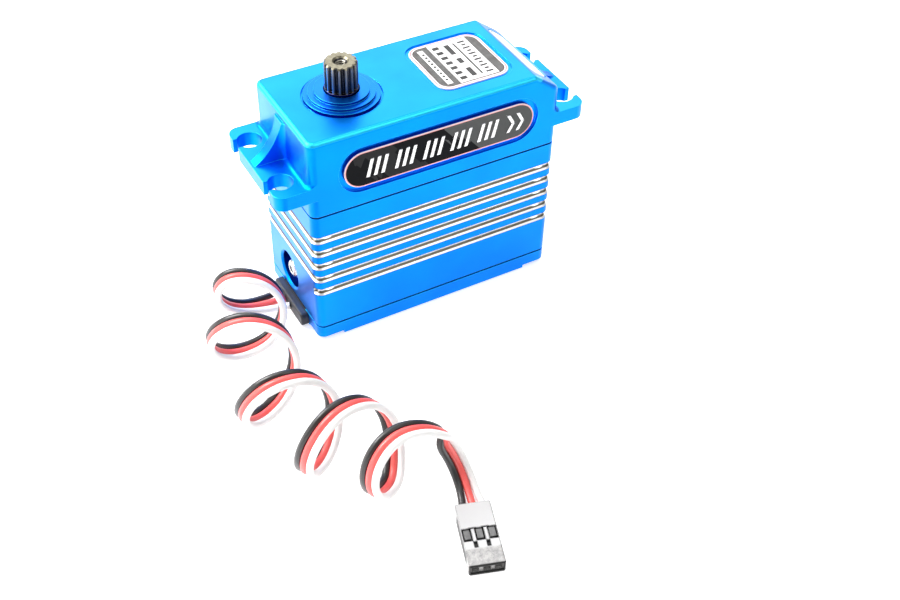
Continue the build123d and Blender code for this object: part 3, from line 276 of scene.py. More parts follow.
def anodised(name, grooved=False):
    """Bead-blasted aluminium anodised azure, with wear and a painted highlight on its edges, painted
    navy shade on the boss walls, in the port and along the grooves, and bare where it is cut later.
    """
    material, tree, shader = new_material(name)
    point = place(tree)
    cloud = noise(tree, point, scale=60, detail=4)
    grain = noise(tree, point, scale=5200, detail=2)
    sharp_edge, rounded = edges(tree, GROOVE_EDGE if grooved else CASE_EDGE)
    colour = blend(tree, vary(tree, cloud, 0.0, 0.6, reach=0.15), AZURE, AZURE_DEEP)
    rough = vary(tree, cloud, 0.32, 0.4)
    if grooved:
        cut, grey_shade, shade, rim = groove_masks(tree)
        # painted shade in the grooves and on their rims, over the bare metal
        bare_and_shade = blend(tree, shade, blend(tree, grey_shade, BARE_ALUMINIUM, GROOVE_SHADE_GREY), NAVY_SHADE)
        colour = blend(tree, cut, blend(tree, rim, colour, NAVY_SHADE), bare_and_shade)
        # painted navy shade in the port's hollow
        colour = blend(tree, port_shade_mask(tree), colour, NAVY_SHADE)
        rough = maths(tree, "MULTIPLY_ADD", cut, GROOVE_POLISH, rough)
    else:
        treads, wall_shade = boss_masks(tree)
        colour = blend(tree, maths(tree, "MULTIPLY", treads, TREAD_SHARE), colour, BOSS_AZURE)
        # painted navy shade on the upright walls of the boss
        colour = blend(tree, wall_shade, colour, NAVY_SHADE)
        # the rounded top edges and the sharp edges get a painted highlight with wear
        top_edge_highlight = maths(tree, "MULTIPLY", top_edge_highlight_mask(tree), TOP_HIGHLIGHT_SHARE)
        colour = blend(tree, top_edge_highlight, colour, AZURE_WEAR_AND_HIGHLIGHT)
    colour = blend(tree, maths(tree, "MULTIPLY", sharp_edge, WEAR_AND_HIGHLIGHT_SHARE), colour, AZURE_WEAR_AND_HIGHLIGHT)
    put(tree, shader.inputs["Base Color"], colour)
    put(tree, shader.inputs["Roughness"], rough)
    shader.inputs["Metallic"].default_value = 1.0
    bump(tree, shader, grain, strength=0.12, normal=rounded, depth=BLASTED_DEPTH)
    return material


def from_axis(tree, node):
    """The distance from the upright axis of a round node, and the height above the floor."""
    low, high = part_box(node)
    middle = (low + high) / 2
    x, y, z = axes(tree, place(tree))
    return span(tree, maths(tree, "SUBTRACT", x, middle.x), maths(tree, "SUBTRACT", y, middle.y)), z


def face_slope(tree):
    """How far a face looks up, from -1 to 1."""
    return axes(tree, tree.nodes.new("ShaderNodeNewGeometry").outputs["True Normal"])[2]


BOSS_OUTER_R, BOSS_LOW_Z, UPRIGHT_SLOPE = 9.1 * MM, 59.4 * MM, 0.3


def boss_masks(tree):
    """Masks of the turned steps round the output shaft, and of the upright walls between them, which get
    painted navy shade.
    """
    radius, z = from_axis(tree, "output_shaft")
    near = maths(tree, "LESS_THAN", radius, BOSS_OUTER_R)
    on_boss = maths(tree, "MULTIPLY", near, maths(tree, "GREATER_THAN", z, BOSS_LOW_Z))
    upright = maths(tree, "LESS_THAN", maths(tree, "ABSOLUTE", face_slope(tree)), UPRIGHT_SLOPE)
    return on_boss, maths(tree, "MULTIPLY", on_boss, upright)


TOP_EDGE_Z, TOP_EDGE_X, TOP_EDGE_Y = 58.4 * MM, 31.4 * MM, 13.4 * MM
# The slopes between which the mask of the painted highlight on the rounded edges fades, towards the
# walls and the top.
WALL_SLOPES, TOP_SLOPES = (0.25, 0.45), (0.98, 0.93)


def top_edge_highlight_mask(tree):
    """1 on the rounded edges of the top face, which get a painted highlight as well as lighter blasting.
    """
    x, y, z = axes(tree, place(tree))
    slope = face_slope(tree)
    off_wall, off_top = spread(tree, slope, *WALL_SLOPES), spread(tree, slope, *TOP_SLOPES)
    slanted = maths(tree, "MULTIPLY", off_wall, off_top)
    by_side = maths(tree, "GREATER_THAN", maths(tree, "ABSOLUTE", y), TOP_EDGE_Y)
    by_edge = maths(tree, "MAXIMUM", by_side, maths(tree, "LESS_THAN", x, -TOP_EDGE_X))
    near_top = maths(tree, "MULTIPLY", by_edge, maths(tree, "GREATER_THAN", z, TOP_EDGE_Z))
    return maths(tree, "MULTIPLY", slanted, near_top)


PORT_R, PORT_MOUTH_X, PORT_END_X, PORT_FADE = 5.0 * MM, -32.5 * MM, -29.0 * MM, 0.2 * MM


def port_shade_mask(tree):
    """1 inside the port of the end wall, where its hollow is painted in navy shade."""
    low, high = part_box("port_screw")
    middle = (low + high) / 2
    x, y, z = axes(tree, place(tree))
    radius = span(tree, maths(tree, "SUBTRACT", y, middle.y), maths(tree, "SUBTRACT", z, middle.z))
    in_bore = spread(tree, radius, PORT_R + BLUR, PORT_R - BLUR)
    behind_mouth = spread(tree, x, PORT_MOUTH_X - PORT_FADE, PORT_MOUTH_X + PORT_FADE)
    in_port = maths(tree, "MULTIPLY", behind_mouth, maths(tree, "LESS_THAN", x, PORT_END_X))
    return maths(tree, "MULTIPLY", in_bore, in_port)


GROOVE_LOW_Z, GROOVE_PITCH, GROOVE_COUNT = 16.3 * MM, 4.05 * MM, 5
GROOVE_HALF, GROOVE_RIM = 1.0 * MM, 0.14 * MM
# Heights from the middle of a groove: where the painted shade starts, and the grey line of painted
# shade.
GROOVE_SHADE_FROM, GROOVE_GREY_AT, GROOVE_GREY_HALF = 0.42 * MM, -0.45 * MM, 0.17 * MM
# How far in from the sides of the case the grooves, its end skin and its corners reach.
GROOVE_REACH, CASE_SKIN, CASE_CORNER = 1.6 * MM, 2.0 * MM, 2.0 * MM


def groove_masks(tree):
    """Masks of the grooves, and of the painted shade in and round them: a grey line, a navy band and
    dark navy rims.
    """
    low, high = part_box("middle_case")
    x, y, z = axes(tree, place(tree))
    from_lowest = maths(tree, "SUBTRACT", z, GROOVE_LOW_Z)
    nearest = maths(tree, "ROUND", maths(tree, "DIVIDE", from_lowest, GROOVE_PITCH))
    nearest = maths(tree, "MINIMUM", maths(tree, "MAXIMUM", nearest, 0.0), GROOVE_COUNT - 1)
    offset = maths(tree, "MULTIPLY_ADD", nearest, -GROOVE_PITCH, from_lowest)
    away = maths(tree, "ABSOLUTE", offset)
    opening = spread(tree, away, GROOVE_HALF + BLUR, GROOVE_HALF - BLUR)
    # painted shade: navy rims round each groove, a navy band on its upper side, a grey line deep in it
    rim = spread(tree, away, GROOVE_HALF + GROOVE_RIM + BLUR, GROOVE_HALF + GROOVE_RIM - BLUR)
    shade = spread(tree, offset, GROOVE_SHADE_FROM - BLUR, GROOVE_SHADE_FROM + BLUR)
    from_grey = maths(tree, "ABSOLUTE", maths(tree, "SUBTRACT", offset, GROOVE_GREY_AT))
    grey_shade = spread(tree, from_grey, GROOVE_GREY_HALF + BLUR, GROOVE_GREY_HALF - BLUR)
    # the lowest groove stops at the flat face of the port's end, and none reaches the inside
    lowest = maths(tree, "LESS_THAN", nearest, 0.5)
    beside, along = maths(tree, "ABSOLUTE", y), maths(tree, "ABSOLUTE", x)
    flat = maths(tree, "LESS_THAN", beside, high.y - CASE_CORNER)
    port_end = maths(tree, "LESS_THAN", x, low.x + CASE_SKIN)
    closed = maths(tree, "MULTIPLY", lowest, maths(tree, "MULTIPLY", flat, port_end))
    by_side = maths(tree, "GREATER_THAN", beside, high.y - GROOVE_REACH)
    by_end = maths(tree, "GREATER_THAN", along, high.x - GROOVE_REACH)
    outside = maths(tree, "MAXIMUM", by_side, by_end)
    shown = maths(tree, "MULTIPLY", outside, maths(tree, "SUBTRACT", 1.0, closed))
    return maths(tree, "MULTIPLY", opening, shown), grey_shade, shade, maths(tree, "MULTIPLY", rim, shown)


# The rounding of plain edges, how dark the marks on metal are, and how far its edges brighten with wear
# and a painted highlight.
METAL_EDGE, PLASTIC_EDGE = 0.15 * MM, 0.2 * MM
METAL_MARKS, METAL_WEAR_AND_HIGHLIGHT = 0.7, 0.5


def metal(name, colour, roughness, grain=(900, 900, 900), strength=0.15):
    """Machined or ground metal with fine tool marks, and edges brightened by wear and a painted
    highlight.
    """
    material, tree, shader = new_material(name)
    marks = noise(tree, place(tree, grain), scale=1.0, detail=3)
    cloud = noise(tree, place(tree), scale=180, detail=3)
    sharp_edge, rounded = edges(tree, METAL_EDGE)
    shade = tuple(c * METAL_MARKS for c in colour)
    bright = tuple(min(1.0, c * 1.25 + 0.08) for c in colour)
    body = blend(tree, vary(tree, marks), colour, shade)
    # wear and painted highlight on the sharp edges
    body = blend(tree, maths(tree, "MULTIPLY", sharp_edge, METAL_WEAR_AND_HIGHLIGHT), body, bright)
    put(tree, shader.inputs["Base Color"], body)
    put(tree, shader.inputs["Roughness"], vary(tree, cloud, roughness * 0.8, roughness * 1.25))
    shader.inputs["Metallic"].default_value = 1.0
    bump(tree, shader, marks, strength, normal=rounded)
    return material


def plastic(name, colour, roughness, variation=0.12, coat=0.0, edge_gain=0.2):
    """Moulded plastic or rubber: faint colour clouds, fine texture and softly lit edges."""
    material, tree, shader = new_material(name)
    point = place(tree)
    cloud = noise(tree, point, scale=220, detail=3)
    texture = noise(tree, point, scale=2500, detail=3)
    sharp_edge, rounded = edges(tree, PLASTIC_EDGE)
    shade = tuple(c * (1 - variation) for c in colour)
    bright = tuple(min(1.0, c + 0.12) for c in colour)
    body = blend(tree, vary(tree, cloud), colour, shade)
    body = blend(tree, maths(tree, "MULTIPLY", sharp_edge, edge_gain), body, bright)
    put(tree, shader.inputs["Base Color"], body)
    put(tree, shader.inputs["Roughness"], vary(tree, cloud, roughness * 0.85, roughness * 1.15))
    shader.inputs["Coat Weight"].default_value = coat
    shader.inputs["Coat Roughness"].default_value = 0.12
    bump(tree, shader, texture, strength=0.12, normal=rounded)
    return material


ROSE, BADGE_BLACK = (0.93, 0.42, 0.42), (0.004, 0.0045, 0.006)
BADGE_GREY, BADGE_SMOKE = (0.085, 0.088, 0.088), (0.022, 0.022, 0.023)
# Where the shades of the face start, right of the middle or, when negative, left of it.
BADGE_SHADES = ((4.3 * MM, BADGE_GREY), (-8.1 * MM, BADGE_SMOKE), (-20.1 * MM, BADGE_BLACK))
ROSE_WHITE, BADGE_RIM, BADGE_LINE = (0.8, 0.74, 0.76), 0.42 * MM, 0.2 * MM
FACETS_PER_METRE, FACET_SLANT, FACET_JUMP, FACET_FADE = 330, 0.85, 6 * MM, 0.1 * MM
# Depths under the badge's face between which its side turns to painted navy shade.
BADGE_SKIN, BADGE_SKIN_END = 0.1 * MM, 0.15 * MM


def badge_face(name):
    """A polished black plate with smoky and grey facets, a rose rim, a pale line and painted navy shade
    on its sides.
    """
    low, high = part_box("front_badge")
    middle, reach, half = (low + high) / 2, (high.x - low.x) / 2, (high.z - low.z) / 2
    material, tree, shader = new_material(name)
    x, y, z = axes(tree, place(tree))
    from_middle = maths(tree, "SUBTRACT", x, middle.x)
    past_end = maths(tree, "SUBTRACT", maths(tree, "ABSOLUTE", from_middle), reach - half)
    above = maths(tree, "SUBTRACT", z, middle.z)
    from_spine = span(tree, maths(tree, "MAXIMUM", past_end, 0.0), above)
    rim = spread(tree, from_spine, half - BADGE_RIM - BLUR, half - BADGE_RIM + BLUR)
    line = spread(tree, from_spine, half - BADGE_LINE - BLUR, half - BADGE_LINE + BLUR)
    cells = tree.nodes.new("ShaderNodeTexVoronoi")
    cells.inputs["Scale"].default_value = FACETS_PER_METRE
    tree.links.new(place(tree, (1, 1, 0.7), (0, 0.5, 0)), cells.inputs["Vector"])
    jump = maths(tree, "SUBTRACT", axes(tree, cells.outputs["Color"])[0], 0.5)
    slanted = maths(tree, "MULTIPLY_ADD", above, FACET_SLANT, from_middle)
    facet = maths(tree, "MULTIPLY_ADD", jump, FACET_JUMP, slanted)
    face = BADGE_BLACK
    for limit, shade in BADGE_SHADES:
        toward = copysign(FACET_FADE, limit)
        face = blend(tree, spread(tree, facet, limit - toward, limit + toward), face, shade)
    face = blend(tree, line, blend(tree, rim, face, ROSE), ROSE_WHITE)
    # painted navy shade on the badge's sides in its recess
    side_shade = spread(tree, maths(tree, "ABSOLUTE", y), -low.y - BADGE_SKIN, -low.y - BADGE_SKIN_END)
    face = blend(tree, side_shade, face, NAVY_SHADE)
    put(tree, shader.inputs["Base Color"], face)
    haze = noise(tree, place(tree), scale=700, detail=2)
    put(tree, shader.inputs["Roughness"], vary(tree, haze, 0.3, 0.38))
    shader.inputs["Specular IOR Level"].default_value = 0.05
    bump(tree, shader, noise(tree, place(tree), scale=1600, detail=2), strength=0.05)
    return material


LABEL_WHITE, LABEL_PINK, LABEL_DARK = (0.80, 0.78, 0.78), (0.72, 0.20, 0.23), (0.036, 0.034, 0.033)
LABEL_LINE, LABEL_SPECK, END_LABEL_LINE = (0.03, 0.004, 0.004), (0.5, 0.5, 0.5), (0.1, 0.1, 0.11)


def framed_label(name, middle, half_size, corner, bands, base, turn=(0, 0, 0)):
    """A rounded label with bands along its outline, each given as (inner edge, colour), inmost first."""
    material, tree, shader = new_material(name)
    turned = tree.nodes.new("ShaderNodeVectorRotate")
    turned.rotation_type = "EULER_XYZ"
    turned.inputs["Center"].default_value = middle
    turned.inputs["Rotation"].default_value = turn
    tree.links.new(place(tree), turned.inputs["Vector"])
    x, y, _ = axes(tree, turned.outputs[0])
    reach = []
    for value, centre, half in ((x, middle.x, half_size[0]), (y, middle.y, half_size[1])):
        away = maths(tree, "ABSOLUTE", maths(tree, "SUBTRACT", value, centre))
        reach.append(maths(tree, "MAXIMUM", maths(tree, "SUBTRACT", away, half - corner), 0.0))
    depth = maths(tree, "SUBTRACT", corner, span(tree, *reach))
    colour = base
    for inner_edge, band_colour in bands:
        inside_band = spread(tree, depth, inner_edge + BLUR, inner_edge - BLUR)
        colour = blend(tree, inside_band, colour, band_colour)
    cloud = noise(tree, place(tree), scale=500, detail=3)
    speck = blend(tree, vary(tree, cloud, 0.0, 0.12), colour, LABEL_SPECK)
    put(tree, shader.inputs["Base Color"], speck)
    put(tree, shader.inputs["Roughness"], vary(tree, cloud, 0.28, 0.38))
    shader.inputs["Specular IOR Level"].default_value = 0.3
    bump(tree, shader, cloud, strength=0.05)
    return material


# Painted shade in the valleys of the flutes, painted highlights on their ridges, and wear with a painted
# highlight on their edges.
VALLEY_SHADE_STEEL = ((0.035, 0.035, 0.04), (0.012, 0.012, 0.015))
RIDGE_HIGHLIGHT_STEEL, WORN_HIGHLIGHT_STEEL = ((0.30, 0.29, 0.26), (0.13, 0.13, 0.12)), (0.70, 0.67, 0.62)
TURNED_STEEL, COLLAR_SHADE = ((0.22, 0.205, 0.15), (0.15, 0.135, 0.095)), (0.002, 0.006, 0.06)
# Depths under the end of the shaft, and distances from its axis, between which the shades change.
END_DEPTHS, COLLAR_DEPTHS = (0.45 * MM, 0.3 * MM), (6.66 * MM, 6.72 * MM)
RIDGE_RADII, SPLINE_EDGE, SPLINE_WEAR_AND_HIGHLIGHT = (3.5 * MM, 3.88 * MM), 0.12 * MM, 0.4


def spline_steel(name):
    """Dark hardened flutes with painted shade in their valleys and a painted highlight with wear on
    their ridges, a dull golden turned end and a shaded collar.
    """
    material, tree, shader = new_material(name)
    point = place(tree)
    radius, z = from_axis(tree, "output_shaft")
    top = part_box("output_shaft")[1].z
    end = spread(tree, z, *(top - depth for depth in END_DEPTHS))
    collar = spread(tree, z, *(top - depth for depth in COLLAR_DEPTHS))
    lit_ridge = spread(tree, radius, *RIDGE_RADII)
    streaks = noise(tree, place(tree, (2600, 2600, 260)), scale=1.0, detail=3)
    sharp_edge, rounded = edges(tree, SPLINE_EDGE)
    streaky = vary(tree, streaks)
    # painted shade in the valleys and painted highlight on the ridges
    flutes = blend(tree, lit_ridge, blend(tree, streaky, *VALLEY_SHADE_STEEL), blend(tree, streaky, *RIDGE_HIGHLIGHT_STEEL))
    flutes = blend(tree, maths(tree, "MULTIPLY", sharp_edge, SPLINE_WEAR_AND_HIGHLIGHT), flutes, WORN_HIGHLIGHT_STEEL)
    flutes = blend(tree, collar, flutes, COLLAR_SHADE)
    turned = blend(tree, vary(tree, noise(tree, point, scale=900, detail=4), reach=0.15), *TURNED_STEEL)
    put(tree, shader.inputs["Base Color"], blend(tree, end, flutes, turned))
    put(tree, shader.inputs["Roughness"], vary(tree, streaks, 0.24, 0.4))
    shader.inputs["Metallic"].default_value = 1.0
    bump(tree, shader, streaks, strength=0.2, normal=rounded)
    return material


PLUG_TURN, PLUG_EDGE, PLUG_EDGE_SHADE_SHARE = radians(18.4), 0.4 * MM, 0.9
PLUG_FACE_Z, PLUG_FACE_FADE, PLUG_INNER_HALF, PLUG_END = 2.85 * MM, 0.2 * MM, 5.5 * MM, -8.3 * MM
# Distances along the plug from its middle at which the sleeve and the end face start.
SLEEVE_FADE, END_FACE_FADE = (-3.5 * MM, -4.1 * MM), (PLUG_END + 0.5 * MM, PLUG_END + 0.3 * MM)
SLEEVE_GREYS, PLUG_GREY = ((0.44, 0.43, 0.42), (0.24, 0.24, 0.24)), (0.54, 0.54, 0.54)
PLUG_EDGE_SHADE, PLUG_SHADE = (0.04, 0.04, 0.04), (0.006, 0.006, 0.006)


def plug_plastic(name):
    """Pale moulded plastic with painted shade on its edges, a grey grained sleeve at the mouth, and
    painted shade in its hollows and on its end face.
    """
    low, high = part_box("plug_housing")
    middle = (low + high) / 2
    material, tree, shader = new_material(name)
    x, y, z = axes(tree, place(tree))
    across = maths(tree, "MULTIPLY", maths(tree, "SUBTRACT", x, middle.x), sin(PLUG_TURN))
    from_y = maths(tree, "SUBTRACT", y, middle.y)
    from_middle = maths(tree, "MULTIPLY_ADD", from_y, cos(PLUG_TURN), across)
    mouth = spread(tree, from_middle, *SLEEVE_FADE)
    grain = noise(tree, place(tree), scale=1500, detail=4, roughness=0.7)
    sharp_edge, rounded = edges(tree, PLUG_EDGE)
    sleeve = blend(tree, vary(tree, grain, reach=0.15), *SLEEVE_GREYS)
    body = blend(tree, mouth, PLUG_GREY, sleeve)
    # painted shade on the edges
    body = blend(tree, maths(tree, "MULTIPLY", sharp_edge, PLUG_EDGE_SHADE_SHARE), body, PLUG_EDGE_SHADE)
    hollow = spread(tree, z, PLUG_FACE_Z, PLUG_FACE_Z - PLUG_FACE_FADE)
    inner = maths(tree, "LESS_THAN", maths(tree, "ABSOLUTE", from_middle), PLUG_INNER_HALF)
    end_face = spread(tree, from_middle, *END_FACE_FADE)
    # painted shade in the hollows and on the end face
    dark = maths(tree, "MAXIMUM", maths(tree, "MULTIPLY", hollow, inner), end_face)
    body = blend(tree, dark, body, PLUG_SHADE)
    put(tree, shader.inputs["Base Color"], body)
    put(tree, shader.inputs["Roughness"], vary(tree, grain, 0.3, 0.42))
    shader.inputs["Specular IOR Level"].default_value = 0.4
    bump(tree, shader, grain, strength=0.1, normal=rounded)
    return material


MASK_GREENS, TRACK_GREEN = ((0.004, 0.10, 0.035, 1), (0.006, 0.14, 0.05, 1)), (0.03, 0.30, 0.12, 1)


def board_green(name):
    """Solder mask over copper tracks."""
    material, tree, shader = new_material(name)
    tracks = tree.nodes.new("ShaderNodeTexBrick")
    tree.links.new(place(tree, (260, 260, 260)), tracks.inputs["Vector"])
    tracks.inputs["Color1"].default_value = MASK_GREENS[0]
    tracks.inputs["Color2"].default_value = MASK_GREENS[1]
    tracks.inputs["Mortar"].default_value = TRACK_GREEN
    tracks.inputs["Mortar Size"].default_value = 0.04
    put(tree, shader.inputs["Base Color"], tracks.outputs[0])
    cloud = noise(tree, place(tree), scale=300, detail=3)
    put(tree, shader.inputs["Roughness"], vary(tree, cloud, 0.25, 0.4))
    bump(tree, shader, tracks.outputs[1], strength=0.2)
    return material


TOP_LABEL_CORNER = 3.5 * MM


def top_label_face(name):
    """A dark plate in a white and pink frame. Its white panels and marks are a piece of their own."""
    low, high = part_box("top_label")
    bands = (
        (1.15 * MM, LABEL_LINE),
        (0.85 * MM, LABEL_WHITE),
        (0.62 * MM, LABEL_PINK),
        (0.25 * MM, LABEL_WHITE),
    )
    half = ((high.x - low.x) / 2, (high.y - low.y) / 2)
    return framed_label(name, (low + high) / 2, half, TOP_LABEL_CORNER, bands, LABEL_DARK)


# The end slope of the top case is 5.1 mm high and 6.9 mm long.
SLOPE_ANGLE = atan2(5.1, 6.9)
END_LABEL_HALF, END_LABEL_CORNER = (2.7 * MM, 11.0 * MM), 2.2 * MM


def end_label_face(name):
    """A white plate with a dark line near its edge."""
    low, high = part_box("end_label")
    bands = ((0.8 * MM, END_LABEL_LINE), (0.55 * MM, LABEL_WHITE))
    middle, turn = (low + high) / 2, (0, -SLOPE_ANGLE, 0)
    return framed_label(name, middle, END_LABEL_HALF, END_LABEL_CORNER, bands, LABEL_WHITE, turn)


# What makes the material of each library slot.
MATERIALS = {
    "case_blue": anodised,
    "seam_dark": lambda n: plastic(n, (0.0, 0.0, 0.035), 0.7, edge_gain=0.0),
    "screw_black": lambda n: metal(n, (0.06, 0.06, 0.065), 0.35),
    "screw_silver": lambda n: metal(n, (0.75, 0.75, 0.77), 0.22),
    "badge": badge_face,
    "top_label": top_label_face,
    "end_label": end_label_face,
    "shaft_steel": spline_steel,
    "gear_steel": lambda n: metal(n, (0.56, 0.56, 0.57), 0.3),
    "gear_brass": lambda n: metal(n, (0.80, 0.58, 0.26), 0.28),
    "bearing_steel": lambda n: metal(n, (0.80, 0.80, 0.82), 0.12),
    "cage_brass": lambda n: metal(n, (0.75, 0.55, 0.25), 0.3),
    # near-black rubber tinted navy: painted shade of the gap round the shaft
    "seal_rubber": lambda n: plastic(n, (0.004, 0.006, 0.03), 0.7, edge_gain=0.0),
    "motor_steel": lambda n: metal(n, (0.62, 0.62, 0.63), 0.3, (300, 300, 3000)),
    "cap_plastic": lambda n: plastic(n, (0.05, 0.05, 0.05), 0.45),
    "bronze": lambda n: metal(n, (0.62, 0.42, 0.20), 0.45),
    "magnet": lambda n: metal(n, (0.12, 0.12, 0.13), 0.6),
    "core_steel": lambda n: metal(n, (0.35, 0.35, 0.36), 0.4, (200, 200, 9000)),
    "copper": lambda n: metal(n, (0.72, 0.33, 0.16), 0.3, (200, 200, 7000), strength=0.5),
    "carbon": lambda n: plastic(n, (0.07, 0.07, 0.07), 0.5),
    "board_green": board_green,
    "chip_black": lambda n: plastic(n, (0.03, 0.03, 0.03), 0.5),
    "can_silver": lambda n: metal(n, (0.75, 0.75, 0.76), 0.25),
    "sensor_plastic": lambda n: plastic(n, (0.08, 0.10, 0.22), 0.45),
    "grommet_rubber": lambda n: plastic(n, (0.022, 0.024, 0.028), 0.5, edge_gain=0.35),
    "wire_black": lambda n: plastic(n, (0.012, 0.011, 0.011), 0.35, coat=0.3),
    "wire_red": lambda n: plastic(n, (0.84, 0.10, 0.09), 0.38, coat=0.3),
    "wire_white": lambda n: plastic(n, (0.80, 0.79, 0.78), 0.4, variation=0.05, coat=0.2),
    "plug_plastic": plug_plastic,
    "contact_metal": lambda n: metal(n, (0.16, 0.16, 0.16), 0.35),
}
materials = {slot: make(slot) for slot, make in MATERIALS.items()}
grooved_case = anodised("case_blue_grooved", grooved=True)

for subpart in frame["record"]["subparts"]:
    mesh = frame["nodes"][subpart["node"]].data
    mesh.materials.clear()
    mesh.materials.append(materials[subpart["material_slot"]])
# the middle case has the same slot as the rest of the case, and the bare grooves besides
middle_mesh = frame["nodes"]["middle_case"].data
middle_mesh.materials.clear()
middle_mesh.materials.append(grooved_case)

# =============================== lead ===============================

WIRE_RADIUS, WIRE_SPACING, WIRE_SIDES, WIRE_POINTS_PER_RUN = 0.86 * MM, 1.70 * MM, 20, 8
# The route that the curl follows on the floor, in millimetres, one point for each half turn.
CURL_ROUTE = metres((
    (-37.8, 3.4, 0), (-47.5, -2.7, 0), (-50.1, -9.8, 0), (-52.3, -19.3, 0), (-53.8, -30.8, 0),
    (-52.8, -41.6, 0), (-49.2, -50.0, 0), (-46.0, -55.9, 0), (-37.8, -63.1, 0), (-37.9, -67.7, 0),
    (-31.4, -76.1, 0),
))
# Half width and half height in millimetres, and heading in degrees, of each turn at its foot.
TURNS = (
    (10.3, 9.0, -94), (9.5, 9.1, -109), (9.1, 10.4, -88),
    (9.1, 10.6, -68), (8.75, 11.5, -59), (11.0, 10.6, -89),
)
# The control points of the curl, twelve to a turn, and the part of them that is used.
STEPS_PER_TURN = 12
FIRST_STEP, LAST_STEP = 1, 56
# From the grommet to the curl, and from the curl to the plug, in millimetres: control points of
# the middle wire, each with the step from it to the white wire.
LEAD_IN = (
    ((-35.2, 1.8, 2.2), (0.0, -3.2, 0.0)),
    ((-37.4, 1.9, 2.0), (-0.3, -2.5, 0.0)),
)
LEAD_OUT = (
    ((-26.9, -66.9, 13.0), (1.60, 0.35, 0.30)),
    ((-24.6, -68.0, 7.4), (1.66, 0.10, 0.25)),
    ((-24.0, -71.0, 3.6), (1.70, -0.10, 0.10)),
    ((-24.6, -74.6, 1.8), (1.72, -0.45, 0.0)),
    ((-25.4, -77.6, 1.5), (2.1, -0.70, 0.0)),
    ((-25.7, -78.6, 1.5), (2.41, -0.80, 0.0)),
)


def between(first, second, share):
    return first + (second - first) * share


def curl_point(step):
    """The centre of the middle wire at a step of the curl, and the way to it from the turn's axis."""
    half_turns = step / (STEPS_PER_TURN / 2)
    spot = min(int(half_turns), len(CURL_ROUTE) - 2)
    foot = between(CURL_ROUTE[spot], CURL_ROUTE[spot + 1], half_turns - spot)
    turn = min(int(half_turns / 2), len(TURNS) - 2)
    share = half_turns / 2 - turn
    wide, tall, heading = (between(a, b, share) for a, b in zip(TURNS[turn], TURNS[turn + 1]))
    angle = pi + pi * half_turns
    across = Vector((-sin(radians(heading)), cos(radians(heading)), 0))
    radial = Vector((0, 0, tall * cos(angle))) + across * (wide * sin(angle))
    return foot + (radial + Vector((0, 0, tall))) * MM + Vector((0, 0, WIRE_RADIUS)), radial.normalized()


def lead_controls():
    """Control points of the middle wire, each with the step from it to the white wire."""
    controls = [(Vector(p) * MM, Vector(s) * MM) for p, s in LEAD_IN]
    curl = [curl_point(step) for step in range(FIRST_STEP - 1, LAST_STEP + 2)]
    for before, (point, radial), after in zip(curl, curl[1:], curl[2:]):
        along = (after[0] - before[0]).normalized()
        controls.append((point, along.cross(radial).normalized() * WIRE_SPACING))
    controls += [(Vector(p) * MM, Vector(s) * MM) for p, s in LEAD_OUT]
    return controls


def build_lead():
    """The flat three-wire lead: black, red and white side by side. Also gives the middle wire's line."""
    controls = lead_controls()
    rows = [[point + step * wire for point, step in controls] for wire in (-1, 0, 1)]
    lines = [smooth_line(row, WIRE_POINTS_PER_RUN) for row in rows]

    def fill(bm):
        for index, line in enumerate(lines):
            sweep_round(bm, line, WIRE_RADIUS, WIRE_SIDES, index)

    wires = [materials[slot] for slot in ("wire_black", "wire_red", "wire_white")]
    lead = new_piece("lead_ribbon", fill, "case", wires, smooth_angle=60)
    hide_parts("lead_exit", "lead_curl", "lead_end")
    return lead, lines[1]


lead, lead_line = build_lead()

# ==================== badge bars, label panels, thread ====================


def add_plate(bm, outline, low, high, point_at, inset=0.0, material_index=0):
    """A thin flat plate from an outline of (u, v) points; its upper outline may be drawn in."""
    middle_u = sum(u for u, v in outline) / len(outline)
    middle_v = sum(v for u, v in outline) / len(outline)
    upper = [(u - copysign(inset, u - middle_u), v - copysign(inset, v - middle_v)) for u, v in outline]
    below = [bm.verts.new(point_at(u, v, low)) for u, v in outline]
    above = [bm.verts.new(point_at(u, v, high)) for u, v in upper]
    faces = [bm.faces.new(below), bm.faces.new(above)]
    for k in range(len(outline)):
        faces.append(bm.faces.new((below[k - 1], below[k], above[k], above[k - 1])))
    for face in faces:
        face.material_index = material_index


def bar(middle_u, middle_v, width, height, lean=0.0):
    """The outline of an upright bar that leans to one side by a share of its height."""
    outline = []
    for side_u, side_v in ((-1, -1), (1, -1), (1, 1), (-1, 1)):
        lean_u = lean * side_v * height / 2
        outline.append((middle_u + side_u * width / 2 + lean_u, middle_v + side_v * height / 2))
    return outline


# In millimetres. The groups stand left of the middle, and the two chevrons on the right.
BAR_GROUPS, BARS_PER_GROUP, GROUP_PITCH, BAR_PITCH, GROUPS_LEFT = 5, 3, 7.3, 1.9, 2.2
BAR_WIDTH, BAR_HEIGHT, BAR_LEAN = 0.85, 5.0, 0.28
BAR_SUNK, BAR_PROUD, BAR_CHAMFER = 0.05, 0.22, 0.12
CHEVRON_TIPS, CHEVRON_LEAN = (18.6, 21.2), 0.6


